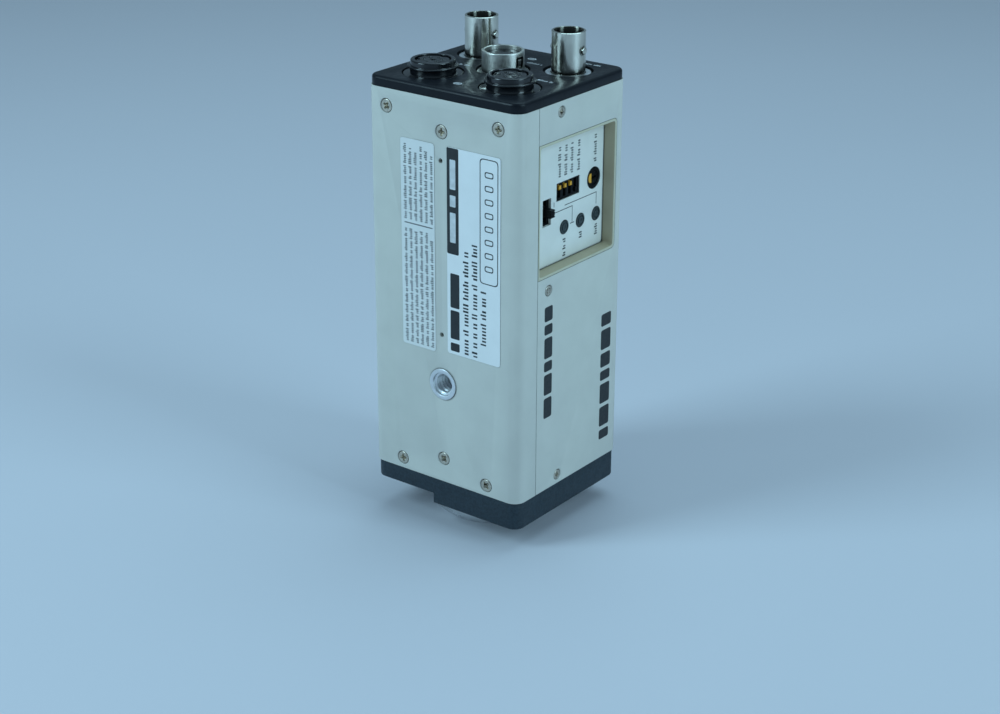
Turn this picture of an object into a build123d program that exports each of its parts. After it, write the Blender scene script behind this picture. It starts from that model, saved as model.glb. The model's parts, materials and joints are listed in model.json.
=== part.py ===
"""Box-type colour video camera of the analogue era, standing on its lens mount.

Frame: millimetres, +Z from the lens mount towards the rear connectors, -Y is
the tripod side, +X is the side with the control recess.  The origin is the
centre of the lens mount's front face, which is what the camera rests on.
"""
from build123d import *
import os
from math import cos, radians, sin

os.makedirs("parts", exist_ok=True)

# ---------------------------------------------------------------- dimensions
# Casing
body_width = 53.4            # X
body_depth = 50.7            # Y
corner_radius = 3.5
sheet = 1.2                  # painted sheet metal
seam_y = -16.6               # where the channel meets the cover
seam_gap = 0.15
half_width = body_width / 2
half_depth = body_depth / 2

# Heights along the optical axis
ring_height = 6.3            # lens mount ring, proud of the front casting
front_z = ring_height
bezel_depth = 8.7
case_z = front_z + bezel_depth
case_length = 114.7
case_end_z = case_z + case_length
rear_z = case_end_z + 2.9    # flat of the rear panel

# Castings that carry the sheet metal
spigot_gap = 0.1
spigot_wall = 2.2
spigot_width = body_width - 2 * (sheet + spigot_gap)
spigot_depth = body_depth - 2 * (sheet + spigot_gap)
spigot_radius = corner_radius - sheet
inner_width = spigot_width - 2 * spigot_wall
inner_depth = spigot_depth - 2 * spigot_wall
bezel_inset = 0.3
front_plate = 5.0
front_spigot_end_z = 28.0
rear_frame_z = 115.5
rear_plate_z = case_end_z - 0.2
rear_plate_thickness = 1.5
rear_plate_top_z = rear_plate_z + rear_plate_thickness
panel_inset = 0.2
panel_skirt = 1.9

# Step in the front casting, at its tripod-side corner
step_x = -4.25
step_y = -16.0
step_height = 3.45

# Lens mount: 1 inch - 32 thread, 17.526 mm from its face to the sensor
ring_radius = 18.2
ring_spigot_radius = 15.6
mount_hole_radius = 15.65
thread_radius = 12.35
thread_length = 5.0
flange_focal_distance = 17.526
aperture_radius = 10.5
filter_seat_z = 7.0
filter_seat_radius = 13.2

# Tripod socket: 1/4 inch - 20 thread
tripod_z = front_z + 39.6
tripod_thread_radius = 2.65
tripod_thread_depth = 7.5
tripod_flange_radius = 4.7
tripod_body_radius = 4.0

# Screws: (x, z) on the tripod side, (y, z) on the two flanks
bottom_screw_places = [
    (-15.45, front_z + 11.9), (15.45, front_z + 11.9), (0, front_z + 16.0),
    (-19.5, front_z + 118.4), (19.5, front_z + 118.4), (0, front_z + 114.3),
]
flank_screw_places = [(-5.9, front_z + 11.4), (-11.25, front_z + 70.15), (-6.2, front_z + 120.35)]
pin_hole_places = [(-0.3, front_z + 106.1), (-0.3, front_z + 54.75)]
pin_hole_radius = 0.7
bottom_head_radius = 2.17
bottom_shank_radius = 1.25
flank_head_radius = 1.75
flank_shank_radius = 0.95
head_fit = 0.03
sink_angle = 82

# Control recess in the +X flank
recess_depth = 3.6
recess_floor_x = half_width - recess_depth
recess_y = (-15.4, 19.3)
recess_z = (front_z + 75.4, front_z + 111.7)
window_y = (seam_y, 20.6)
window_z = (front_z + 74.2, front_z + 112.95)
window_radius = 1.6
control_plate_thickness = 1.0

# Controls on the recess floor, as (y, z) centres
control_row_z = front_z + 95.85
dip_y = 2.25
dip_pitch = 2.54
dip_travel = 2.2
dip_up_z = front_z + 97.0
slide_y = -7.7
slide_z = front_z + 91.3
slide_travel = 2.0
rotary_y = 14.7
button_z = front_z + 84.87
button_ys = {"button_down": 0.65, "button_up": 8.4, "button_set": 16.1}
button_radius = 1.9
button_travel = 0.5

# Circuit boards, stacked in from the control flank
board = 1.6
board_y = (-15.0, 21.0)
board_z = (32.0, 113.0)
switch_board_x = 15.4        # inner face of each board
process_board_x = 3.4
power_board_x = -10.6
chassis_x = -inner_width / 2
chassis_thickness = 1.2
chassis_screw_places = [(-9.0, 25.4), (9.0, 25.4), (-9.0, 122.0), (9.0, 122.0)]
post_places = [(y, z) for y in (-12.0, 18.0) for z in (36.0, 110.5)]
post_radius = 2.4
stud_radius = 1.0

# Rear connectors, as (x, y) centres
bnc_x = 15.3
bnc_y = 12.3
bnc_hole_radius = 7.1
bnc_radius = 4.825
bnc_top_z = front_z + 137.75
din_x = 13.4
din_y = -12.1
din_hole_radius = 8.75
multipin_y = 2.4
multipin_hole_radius = 7.7
multipin_radius = 6.0
multipin_top_z = front_z + 131.75
rear_board_z = 117.4

# ---------------------------------------------------------------- work planes
# Sketches on these planes read as (x, z) or (y, z) in the part's own frame.
tripod_plane = Plane(origin=(0, -half_depth, 0), x_dir=(1, 0, 0), z_dir=(0, -1, 0))
control_plane = Plane(origin=(half_width, 0, 0), x_dir=(0, 1, 0), z_dir=(1, 0, 0))
board_plane = Plane(origin=(0, 0, 0), x_dir=(0, 1, 0), z_dir=(1, 0, 0))


def tripod_spot(x, z, y=-half_depth):
    """Plane on the tripod side, facing out along -Y."""
    return Plane(origin=(x, y, z), x_dir=(1, 0, 0), z_dir=(0, -1, 0))


def flank_spot(side, y, z, x=half_width):
    """Plane on the +X (side = 1) or -X (side = -1) flank, facing out."""
    return Plane(origin=(side * x, y, z), x_dir=(0, side, 0), z_dir=(side, 0, 0))


def board_spot(x, y, z):
    """Plane across the board stack, facing +X."""
    return Plane(origin=(x, y, z), x_dir=(0, 1, 0), z_dir=(1, 0, 0))


def sketch_box(ys, zs):
    """Rectangle given by its two limits along each sketch axis."""
    with Locations(((ys[0] + ys[1]) / 2, (zs[0] + zs[1]) / 2)):
        Rectangle(ys[1] - ys[0], zs[1] - zs[0])


def ring_of(center, radius, angles):
    """Points at the given angles on a circle about the centre."""
    return [(center[0] + radius * cos(radians(a)), center[1] + radius * sin(radians(a))) for a in angles]


def screw(head_radius, shank_radius, length, flat=0.25):
    """Countersunk cross-head screw: head face at the origin, shank along -Z."""
    cone = (head_radius - shank_radius) / sin(radians(sink_angle / 2)) * cos(radians(sink_angle / 2))
    with BuildPart() as body:
        with BuildSketch(Plane.XZ):
            with BuildLine():
                Polyline(
                    (0, 0),
                    (head_radius - flat * 0.5, 0),
                    (head_radius - flat * 0.5, -flat * 0.5),
                    (shank_radius, -cone),
                    (shank_radius, 0.4 - length),
                    (shank_radius - 0.4, -length),
                    (0, -length),
                    close=True,
                )
            make_face()
        revolve(axis=Axis.Z)
        with BuildSketch(Plane.XY):
            Rectangle(head_radius * 1.15, head_radius * 0.24)
            Rectangle(head_radius * 0.24, head_radius * 1.15)
            Circle(head_radius * 0.26)
        extrude(amount=-head_radius * 0.42, taper=8, mode=Mode.SUBTRACT)
    return body.part


def pan_screw(head_radius, shank_radius, length):
    """Pan-head cross screw: head underside at the origin, shank along -Z."""
    head = head_radius * 0.6
    with BuildPart() as body:
        Cylinder(head_radius, head, align=(Align.CENTER, Align.CENTER, Align.MIN))
        fillet(body.edges().sort_by(Axis.Z)[-1], head * 0.4)
        Cylinder(shank_radius, length, align=(Align.CENTER, Align.CENTER, Align.MAX))
        with BuildSketch(Plane.XY.offset(head)):
            Rectangle(head_radius * 1.1, head_radius * 0.24)
            Rectangle(head_radius * 0.24, head_radius * 1.1)
        extrude(amount=-head * 0.55, mode=Mode.SUBTRACT)
    return body.part


# ---------------------------------------------------------------- front casting
with BuildPart() as front_casting:
    with BuildSketch(Plane.XY.offset(front_z)):
        RectangleRounded(body_width - 2 * bezel_inset, body_depth - 2 * bezel_inset, corner_radius)
    extrude(amount=bezel_depth)
    fillet(front_casting.faces().sort_by(Axis.Z)[0].edges(), 0.9)
    with BuildSketch(Plane.XY.offset(front_z)):
        sketch_box((-body_width, step_x), (-body_depth, step_y))
    extrude(amount=step_height, mode=Mode.SUBTRACT)
    with BuildSketch(Plane.XY.offset(case_z)):
        RectangleRounded(spigot_width, spigot_depth, spigot_radius)
    extrude(amount=front_spigot_end_z - case_z)
    with BuildSketch(Plane.XY.offset(front_z + front_plate)):
        RectangleRounded(inner_width, inner_depth, 1.0)
    extrude(amount=front_spigot_end_z - front_z, mode=Mode.SUBTRACT)
    # Bosses for the sensor bracket
    with BuildSketch(Plane.XY.offset(front_z + front_plate)):
        with GridLocations(36.0, 28.0, 2, 2):
            Circle(2.6)
    extrude(amount=2.7)
    with BuildSketch(Plane.XY.offset(front_z)):
        Circle(mount_hole_radius)
    extrude(amount=front_plate, mode=Mode.SUBTRACT)
    with BuildSketch(Plane.XY.offset(front_z + front_plate + 2.7)):
        with GridLocations(36.0, 28.0, 2, 2):
            Circle(stud_radius + 0.02)
    extrude(amount=-5.0, mode=Mode.SUBTRACT)
    # Tapped holes for the sheet metal's screws
    for x, z in bottom_screw_places[:3]:
        with Locations(tripod_spot(x, z, -spigot_depth / 2)):
            Hole(bottom_shank_radius + 0.03, depth=spigot_wall + 0.5)
    for side in (-1, 1):
        with Locations(flank_spot(side, *flank_screw_places[0], x=spigot_width / 2)):
            Hole(flank_shank_radius + 0.03, depth=spigot_wall + 0.5)
    # Tapped holes for the chassis plate's front screws
    for y, z in chassis_screw_places[:2]:
        with Locations(flank_spot(1, y, z, x=-inner_width / 2)):
            Hole(stud_radius + 0.02, depth=1.8)
front_casting.part.label = "front_casting"
export_step(front_casting.part, "parts/front_casting.step")

# ---------------------------------------------------------------- lens mount ring
with BuildPart() as lens_mount_ring:
    with BuildSketch(Plane.XZ):
        with BuildLine():
            Polyline(
                (thread_radius + 0.35, 0),
                (ring_radius - 0.5, 0),
                (ring_radius, 0.5),
                (ring_radius, ring_height),
                (ring_spigot_radius, ring_height),
                (ring_spigot_radius, front_z + front_plate),
                (filter_seat_radius, front_z + front_plate),
                (filter_seat_radius, filter_seat_z),
                (aperture_radius, filter_seat_z),
                (aperture_radius, thread_length),
                (thread_radius, thread_length),
                (thread_radius, 0.35),
                close=True,
            )
        make_face()
    revolve(axis=Axis.Z)
    # Two shallow grip grooves around the outside
    with BuildSketch(Plane.XZ):
        for z in (2.3, 4.2):
            with Locations((ring_radius, z)):
                Rectangle(0.5, 0.5)
    revolve(axis=Axis.Z, mode=Mode.SUBTRACT)
lens_mount_ring.part.label = "lens_mount_ring"
export_step(lens_mount_ring.part, "parts/lens_mount_ring.step")

# ---------------------------------------------------------------- filter stack
gasket_z = filter_seat_z
filter_z = gasket_z + 0.5
retainer_z = filter_z + 2.2

with BuildPart() as filter_gasket:
    with BuildSketch(Plane.XY.offset(gasket_z)):
        Circle(filter_seat_radius - 0.1)
        Circle(aperture_radius + 0.1, mode=Mode.SUBTRACT)
    extrude(amount=0.5)
filter_gasket.part.label = "filter_gasket"
export_step(filter_gasket.part, "parts/filter_gasket.step")

with BuildPart() as optical_filter:
    with BuildSketch(Plane.XY.offset(filter_z)):
        Circle(filter_seat_radius - 0.1)
    extrude(amount=2.2)
    chamfer(optical_filter.edges(), 0.2)
optical_filter.part.label = "optical_filter"
export_step(optical_filter.part, "parts/optical_filter.step")

with BuildPart() as filter_retainer:
    with BuildSketch(Plane.XY.offset(retainer_z)):
        Circle(filter_seat_radius - 0.05)
        Circle(aperture_radius, mode=Mode.SUBTRACT)
    extrude(amount=1.4)
    with BuildSketch(Plane.XY.offset(retainer_z + 1.4)):
        Rectangle(2 * filter_seat_radius, 1.4)
    extrude(amount=-0.7, mode=Mode.SUBTRACT)
filter_retainer.part.label = "filter_retainer"
export_step(filter_retainer.part, "parts/filter_retainer.step")

# ---------------------------------------------------------------- image sensor
bracket_z = front_z + front_plate + 2.7
bracket_thickness = 2.0
package_z = bracket_z + bracket_thickness
package_height = 3.0
package_end_z = package_z + package_height
glass_thickness = 0.6
die_thickness = 0.45
sensor_board_z = package_end_z + 2.0
sensor_post_places = [(x, y) for x in (-18.0, 18.0) for y in (-6.0, 6.0)]
lead_pitch = 1.78
lead_rows = 7.62
lead_count = 10
lead_radius = 0.23

with BuildPart() as sensor_bracket:
    with BuildSketch(Plane.XY.offset(bracket_z)):
        RectangleRounded(42.0, 34.0, 2.0)
        Rectangle(17.0, 15.0, mode=Mode.SUBTRACT)
        with GridLocations(36.0, 28.0, 2, 2):
            Circle(stud_radius + 0.15, mode=Mode.SUBTRACT)
    extrude(amount=bracket_thickness)
    with BuildSketch(Plane.XY.offset(package_z)):
        with Locations(*sensor_post_places):
            Circle(stud_radius + 0.03)
    extrude(amount=-bracket_thickness, mode=Mode.SUBTRACT)
sensor_bracket.part.label = "sensor_bracket"
export_step(sensor_bracket.part, "parts/sensor_bracket.step")

with BuildPart() as sensor_package:
    with BuildSketch(Plane.XY.offset(package_z)):
        RectangleRounded(21.0, 18.0, 0.6)
    extrude(amount=package_height)
    with BuildSketch(Plane.XY.offset(package_z)):
        Rectangle(13.0, 11.0)
    extrude(amount=flange_focal_distance + die_thickness - package_z, mode=Mode.SUBTRACT)
    with BuildSketch(Plane.XY.offset(package_end_z)):
        with GridLocations(lead_pitch, 2 * lead_rows, lead_count, 2):
            Circle(lead_radius)
    extrude(amount=4.4)
sensor_package.part.label = "sensor_package"
export_step(sensor_package.part, "parts/sensor_package.step")

with BuildPart() as sensor_cover_glass:
    with BuildSketch(Plane.XY.offset(package_z)):
        RectangleRounded(16.0, 14.0, 0.4)
    extrude(amount=-glass_thickness)
sensor_cover_glass.part.label = "sensor_cover_glass"
export_step(sensor_cover_glass.part, "parts/sensor_cover_glass.step")

with BuildPart() as sensor_die:
    with BuildSketch(Plane.XY.offset(flange_focal_distance)):
        Rectangle(10.0, 8.2)
    extrude(amount=die_thickness)
sensor_die.part.label = "sensor_die"
export_step(sensor_die.part, "parts/sensor_die.step")

with BuildPart() as sensor_board:
    with BuildSketch(Plane.XY.offset(sensor_board_z)):
        RectangleRounded(42.0, 36.0, 1.0)
        with GridLocations(lead_pitch, 2 * lead_rows, lead_count, 2):
            Circle(lead_radius + 0.12, mode=Mode.SUBTRACT)
        with Locations(*sensor_post_places):
            Circle(stud_radius + 0.1, mode=Mode.SUBTRACT)
    extrude(amount=board)
sensor_board.part.label = "sensor_board"
export_step(sensor_board.part, "parts/sensor_board.step")

# ---------------------------------------------------------------- sheet metal casing
with BuildPart() as bottom_channel:
    with BuildSketch(Plane.XY.offset(case_z)):
        RectangleRounded(body_width, body_depth, corner_radius)
        RectangleRounded(
            body_width - 2 * sheet, body_depth - 2 * sheet, corner_radius - sheet, mode=Mode.SUBTRACT
        )
        with Locations((0, seam_y + body_depth)):
            Rectangle(2 * body_width, 2 * body_depth, mode=Mode.SUBTRACT)
    extrude(amount=case_length)
    with Locations(*[tripod_spot(x, z) for x, z in bottom_screw_places]):
        CounterSinkHole(
            bottom_shank_radius + 0.15, bottom_head_radius + head_fit, sheet, counter_sink_angle=sink_angle
        )
    with Locations(*[tripod_spot(x, z) for x, z in pin_hole_places]):
        Hole(pin_hole_radius, depth=sheet)
    with Locations(tripod_spot(0, tripod_z)):
        Hole(tripod_body_radius + 0.05, depth=sheet)
bottom_channel.part.label = "bottom_channel"
export_step(bottom_channel.part, "parts/bottom_channel.step")

with BuildPart() as top_cover:
    with BuildSketch(Plane.XY.offset(case_z)):
        RectangleRounded(body_width, body_depth, corner_radius)
        RectangleRounded(
            body_width - 2 * sheet, body_depth - 2 * sheet, corner_radius - sheet, mode=Mode.SUBTRACT
        )
        with Locations((0, seam_y + seam_gap - body_depth)):
            Rectangle(2 * body_width, 2 * body_depth, mode=Mode.SUBTRACT)
    extrude(amount=case_length)
    with BuildSketch(control_plane) as control_window:
        sketch_box((window_y[0] - 2.0, window_y[1]), window_z)
        fillet(control_window.vertices().group_by(Axis.X)[-1], window_radius)
    extrude(amount=-1.5 * sheet, mode=Mode.SUBTRACT)
    for side in (-1, 1):
        with Locations(*[flank_spot(side, y, z) for y, z in flank_screw_places]):
            CounterSinkHole(
                flank_shank_radius + 0.15, flank_head_radius + head_fit, sheet, counter_sink_angle=sink_angle
            )
top_cover.part.label = "top_cover"
export_step(top_cover.part, "parts/top_cover.step")

# ---------------------------------------------------------------- control recess
frame_gap = 0.1
bezel_back_x = recess_floor_x - control_plate_thickness - 0.8
flange_depth = half_width - sheet - frame_gap
wall_draft = 6.0

with BuildPart() as control_bezel:
    with BuildSketch(control_plane) as bezel_outline:
        sketch_box(
            (window_y[0] + seam_gap + frame_gap, window_y[1] - frame_gap),
            (window_z[0] + frame_gap, window_z[1] - frame_gap),
        )
        fillet(bezel_outline.vertices().group_by(Axis.X)[-1], window_radius - frame_gap)
    extrude(amount=bezel_back_x - half_width)
    with BuildSketch(control_plane.offset(flange_depth - half_width)):
        sketch_box((window_y[0] - 1.3, window_y[1] + 1.4), (window_z[0] - 1.4, window_z[1] + 1.4))
    extrude(amount=-1.1)
    # The recess walls lean outwards towards the mouth
    with BuildSketch(control_plane.offset(-recess_depth)) as bezel_opening:
        sketch_box(recess_y, recess_z)
        fillet(bezel_opening.vertices(), 0.5)
    extrude(amount=recess_depth, taper=-wall_draft, mode=Mode.SUBTRACT)
    with BuildSketch(control_plane.offset(-recess_depth)):
        sketch_box((recess_y[0] - 0.5, recess_y[1] + 0.5), (recess_z[0] - 0.5, recess_z[1] + 0.5))
    extrude(amount=bezel_back_x - recess_floor_x, mode=Mode.SUBTRACT)
control_bezel.part.label = "control_bezel"
export_step(control_bezel.part, "parts/control_bezel.step")

dip_window = ((dip_y - 5.5, dip_y + 5.5), (control_row_z - 2.65, control_row_z + 2.6))
slide_window = ((slide_y - 1.95, slide_y + 1.95), (slide_z - 4.0, slide_z + 3.8))

with BuildPart() as control_plate:
    with BuildSketch(control_plane.offset(-recess_depth)):
        sketch_box((recess_y[0] - 0.45, recess_y[1] + 0.45), (recess_z[0] - 0.45, recess_z[1] + 0.45))
    extrude(amount=-control_plate_thickness)
    with BuildSketch(control_plane.offset(-recess_depth)):
        sketch_box(*dip_window)
        sketch_box(*slide_window)
        with Locations((rotary_y, control_row_z)):
            Circle(3.25)
        with Locations(*[(y, button_z) for y in button_ys.values()]):
            Circle(button_radius + 0.2)
    extrude(amount=-control_plate_thickness, mode=Mode.SUBTRACT)
control_plate.part.label = "control_plate"
export_step(control_plate.part, "parts/control_plate.step")

# ---------------------------------------------------------------- switches
switch_base_x = switch_board_x + board
plate_back_x = recess_floor_x - control_plate_thickness
dip_slot_length = dip_travel + 1.8
dip_slot_z = dip_up_z - dip_travel / 2
dip_face_x = recess_floor_x - 0.4
dip_ys = [dip_y - 0.05 + (i - 1.5) * dip_pitch for i in range(4)]

with BuildPart() as dip_switch_body:
    with BuildSketch(board_plane.offset(switch_base_x)):
        sketch_box((dip_y - 5.4, dip_y + 5.4), (control_row_z - 2.55, control_row_z + 2.5))
    extrude(amount=dip_face_x - switch_base_x)
    with BuildSketch(board_plane.offset(dip_face_x)):
        with Locations(*[(y, dip_slot_z) for y in dip_ys]):
            Rectangle(1.3, dip_slot_length)
    extrude(amount=-2.0, mode=Mode.SUBTRACT)
dip_switch_body.part.label = "dip_switch_body"
export_step(dip_switch_body.part, "parts/dip_switch_body.step")

for index, y in enumerate(dip_ys, start=1):
    rest_z = dip_up_z if index < 4 else dip_up_z - dip_travel
    with BuildPart() as dip_slider:
        with BuildSketch(board_plane.offset(dip_face_x - 1.9)):
            with Locations((y, rest_z)):
                Rectangle(1.1, 1.3)
        extrude(amount=recess_floor_x + 0.1 - (dip_face_x - 1.9))
        chamfer(dip_slider.faces().sort_by(Axis.X)[-1].edges(), 0.2)
    dip_slider.part.label = f"dip_slider_{index}"
    export_step(dip_slider.part, f"parts/dip_slider_{index}.step")

slide_face_x = plate_back_x - 0.1
with BuildPart() as slide_switch_body:
    with BuildSketch(board_plane.offset(switch_base_x)):
        with Locations((slide_y, slide_z)):
            RectangleRounded(5.6, 12.0, 0.4)
    extrude(amount=slide_face_x - switch_base_x)
    with BuildSketch(board_plane.offset(slide_face_x)):
        with Locations((slide_y, slide_z)):
            Rectangle(2.5, 2 * slide_travel + 3.4)
    extrude(amount=-2.4, mode=Mode.SUBTRACT)
slide_switch_body.part.label = "slide_switch_body"
export_step(slide_switch_body.part, "parts/slide_switch_body.step")

knob_tip_x = recess_floor_x + 2.1
with BuildPart() as slide_switch_knob:
    with BuildSketch(board_plane.offset(slide_face_x - 2.3)):
        with Locations((slide_y, slide_z)):
            Rectangle(2.3, 3.0)
    extrude(amount=2.1)
    with BuildSketch(board_plane.offset(slide_face_x - 0.2)):
        with Locations((slide_y, slide_z)):
            Rectangle(1.9, 2.3)
    extrude(amount=knob_tip_x - (slide_face_x - 0.2))
    chamfer(slide_switch_knob.faces().sort_by(Axis.X)[-1].edges(), 0.25)
slide_switch_knob.part.label = "slide_switch_knob"
export_step(slide_switch_knob.part, "parts/slide_switch_knob.step")

rotary_body_x = plate_back_x - 0.7
rotary_face_x = recess_floor_x - 0.2
rotor_radius = 2.25
with BuildPart() as rotary_switch_body:
    with BuildSketch(board_plane.offset(switch_base_x)):
        with Locations((rotary_y, control_row_z)):
            RectangleRounded(10.0, 10.0, 0.5)
    extrude(amount=rotary_body_x - switch_base_x)
    with BuildSketch(board_plane.offset(rotary_body_x)):
        with Locations((rotary_y, control_row_z)):
            Circle(3.1)
    extrude(amount=rotary_face_x - rotary_body_x)
    with BuildSketch(board_plane.offset(rotary_face_x)):
        with Locations((rotary_y, control_row_z)):
            Circle(rotor_radius + 0.06)
    extrude(amount=-1.8, mode=Mode.SUBTRACT)
rotary_switch_body.part.label = "rotary_switch_body"
export_step(rotary_switch_body.part, "parts/rotary_switch_body.step")

with BuildPart() as rotary_switch_rotor:
    with BuildSketch(board_plane.offset(rotary_face_x - 1.7)):
        with Locations((rotary_y, control_row_z)):
            Circle(rotor_radius)
    extrude(amount=1.5)
    # Arrow-shaped driver slot, pointing to -Y
    with BuildSketch(board_plane.offset(rotary_face_x - 0.2)):
        with Locations((rotary_y, control_row_z)):
            Rectangle(3.6, 0.7)
            with BuildLine():
                Polyline((-1.9, 0), (-0.7, 0.95), (-0.7, -0.95), close=True)
            make_face()
    extrude(amount=-0.8, mode=Mode.SUBTRACT)
rotary_switch_rotor.part.label = "rotary_switch_rotor"
export_step(rotary_switch_rotor.part, "parts/rotary_switch_rotor.step")

tact_height = 3.5
tact_face_x = switch_base_x + tact_height
plunger_depth = 1.0
button_cap_gap = button_travel + 0.2
with BuildPart() as tact_switch_bodies:
    for y in button_ys.values():
        with BuildSketch(board_plane.offset(switch_base_x)):
            with Locations((y, button_z)):
                RectangleRounded(6.0, 6.0, 0.4)
        extrude(amount=tact_height)
        with BuildSketch(board_plane.offset(tact_face_x)):
            with Locations((y, button_z)):
                Circle(1.3)
        extrude(amount=-(plunger_depth + button_travel + 0.2), mode=Mode.SUBTRACT)
tact_switch_bodies.part.label = "tact_switch_bodies"
export_step(tact_switch_bodies.part, "parts/tact_switch_bodies.step")

for name, y in button_ys.items():
    with BuildPart() as button:
        with BuildSketch(board_plane.offset(tact_face_x - plunger_depth)):
            with Locations((y, button_z)):
                Circle(1.15)
        extrude(amount=plunger_depth + button_cap_gap)
        with BuildSketch(board_plane.offset(tact_face_x + button_cap_gap)):
            with Locations((y, button_z)):
                Circle(button_radius)
        extrude(amount=recess_floor_x + 0.25 - (tact_face_x + button_cap_gap))
        fillet(button.edges().sort_by(Axis.X)[-1], 0.25)
        with BuildSketch(board_plane.offset(recess_floor_x + 0.25)):
            with Locations((y, button_z)):
                Circle(1.15)
                Circle(0.6, mode=Mode.SUBTRACT)
        extrude(amount=-0.2, mode=Mode.SUBTRACT)
    button.part.label = name
    export_step(button.part, f"parts/{name}.step")

# ---------------------------------------------------------------- circuit boards
board_stack = {"switch_board": switch_board_x, "process_board": process_board_x, "power_board": power_board_x}
for name, x in board_stack.items():
    with BuildPart() as stacked_board:
        with BuildSketch(board_plane.offset(x)):
            sketch_box(board_y, board_z)
            with Locations(*post_places):
                Circle(stud_radius + 0.1, mode=Mode.SUBTRACT)
        extrude(amount=board)
    stacked_board.part.label = name
    export_step(stacked_board.part, f"parts/{name}.step")

with BuildPart() as chassis_plate:
    with BuildSketch(board_plane.offset(chassis_x)):
        sketch_box((-14.0, 20.0), (19.5, 114.5))
        sketch_box((-14.0, 14.0), (114.5, 124.0))
    extrude(amount=chassis_thickness)
    with BuildSketch(board_plane.offset(chassis_x)):
        sketch_box((-6.0, 12.0), (52.0, 95.0))
        with Locations(*post_places):
            Circle(stud_radius + 0.1)
        with Locations(*chassis_screw_places):
            Circle(stud_radius + 0.15)
        with Locations(flank_screw_places[1]):
            Circle(flank_shank_radius + 0.5)
    extrude(amount=chassis_thickness, mode=Mode.SUBTRACT)
chassis_plate.part.label = "chassis_plate"
export_step(chassis_plate.part, "parts/chassis_plate.step")


def stud_post(length, stud=0.0, far_hole=0.0):
    """Hexagonal spacer along +Z, tapped at its foot, with a stud or a tapped hole at its far end."""
    with BuildPart() as body:
        with BuildSketch(Plane.XY):
            RegularPolygon(post_radius, 6)
        extrude(amount=length)
        if stud:
            with BuildSketch(Plane.XY.offset(length)):
                Circle(stud_radius)
            extrude(amount=stud)
        with BuildSketch(Plane.XY):
            Circle(stud_radius + 0.02)
        extrude(amount=4.0, mode=Mode.SUBTRACT)
        if far_hole:
            with BuildSketch(Plane.XY.offset(length)):
                Circle(stud_radius + 0.02)
            extrude(amount=-far_hole, mode=Mode.SUBTRACT)
    return body.part


lower_face = chassis_x + chassis_thickness
power_face = power_board_x + board
process_face = process_board_x + board
lower_post = stud_post(power_board_x - lower_face, stud=board + 2.5)
middle_post = stud_post(process_board_x - power_face, stud=board + 2.5)
upper_post = stud_post(switch_board_x - process_face, far_hole=4.0)
sensor_post_length = sensor_board_z - package_z
sensor_post = stud_post(sensor_post_length, far_hole=sensor_post_length - 4.0)
rear_post = stud_post(rear_plate_z - rear_board_z - board)
rear_post_places = [(0, -16.5), (0, 17.5), (-18.0, 1.0), (18.0, 1.0)]
with BuildPart() as board_standoffs:
    for post, x in ((lower_post, lower_face), (middle_post, power_face), (upper_post, process_face)):
        with Locations(*[board_spot(x, y, z) for y, z in post_places]):
            add(post)
    with Locations(*[(x, y, package_z) for x, y in sensor_post_places]):
        add(sensor_post)
    with Locations(*[(x, y, rear_board_z + board) for x, y in rear_post_places]):
        add(rear_post)
board_standoffs.part.label = "board_standoffs"
export_step(board_standoffs.part, "parts/board_standoffs.step")

# ---------------------------------------------------------------- parts on the boards
rear_cable_x = -6.5
with BuildPart() as board_headers:
    for start, end in ((power_face, process_board_x), (process_face, switch_board_x)):
        with BuildSketch(board_plane.offset(start)):
            sketch_box((-8.0, 14.0), (43.0, 48.0))
        extrude(amount=end - start)
    # Flat-cable sockets on the sensor, process and rear boards
    with Locations((0, 0, sensor_board_z + board + 1.25)):
        Box(4.0, 12.0, 2.5)
    with Locations((process_board_x - 1.25, 0, 40.0), (process_board_x - 1.25, 0, 105.0)):
        Box(2.5, 12.0, 4.0)
    with Locations((rear_cable_x, 0, rear_board_z - 1.25)):
        Box(4.0, 12.0, 2.5)
board_headers.part.label = "board_headers"
export_step(board_headers.part, "parts/board_headers.step")

cable_x = process_board_x - 1.25
cable_thickness = 0.3
cable_width = 10.0
sensor_socket_z = sensor_board_z + board + 2.5
rear_socket_z = rear_board_z - 2.5
with BuildPart() as ribbon_cables:
    with BuildSketch(Plane.XZ.offset(cable_width / 2)):
        with BuildLine():
            FilletPolyline((0, sensor_socket_z), (0, 30.0), (cable_x, 34.0), (cable_x, 38.0), radius=2.0)
        trace(line_width=cable_thickness)
    extrude(amount=-cable_width)
    with BuildSketch(Plane.XZ.offset(cable_width / 2)):
        with BuildLine():
            FilletPolyline(
                (cable_x, 107.0),
                (cable_x, 109.0),
                (rear_cable_x, 111.5),
                (rear_cable_x, rear_socket_z),
                radius=1.2,
            )
        trace(line_width=cable_thickness)
    extrude(amount=-cable_width)
ribbon_cables.part.label = "ribbon_cables"
export_step(ribbon_cables.part, "parts/ribbon_cables.step")

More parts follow.
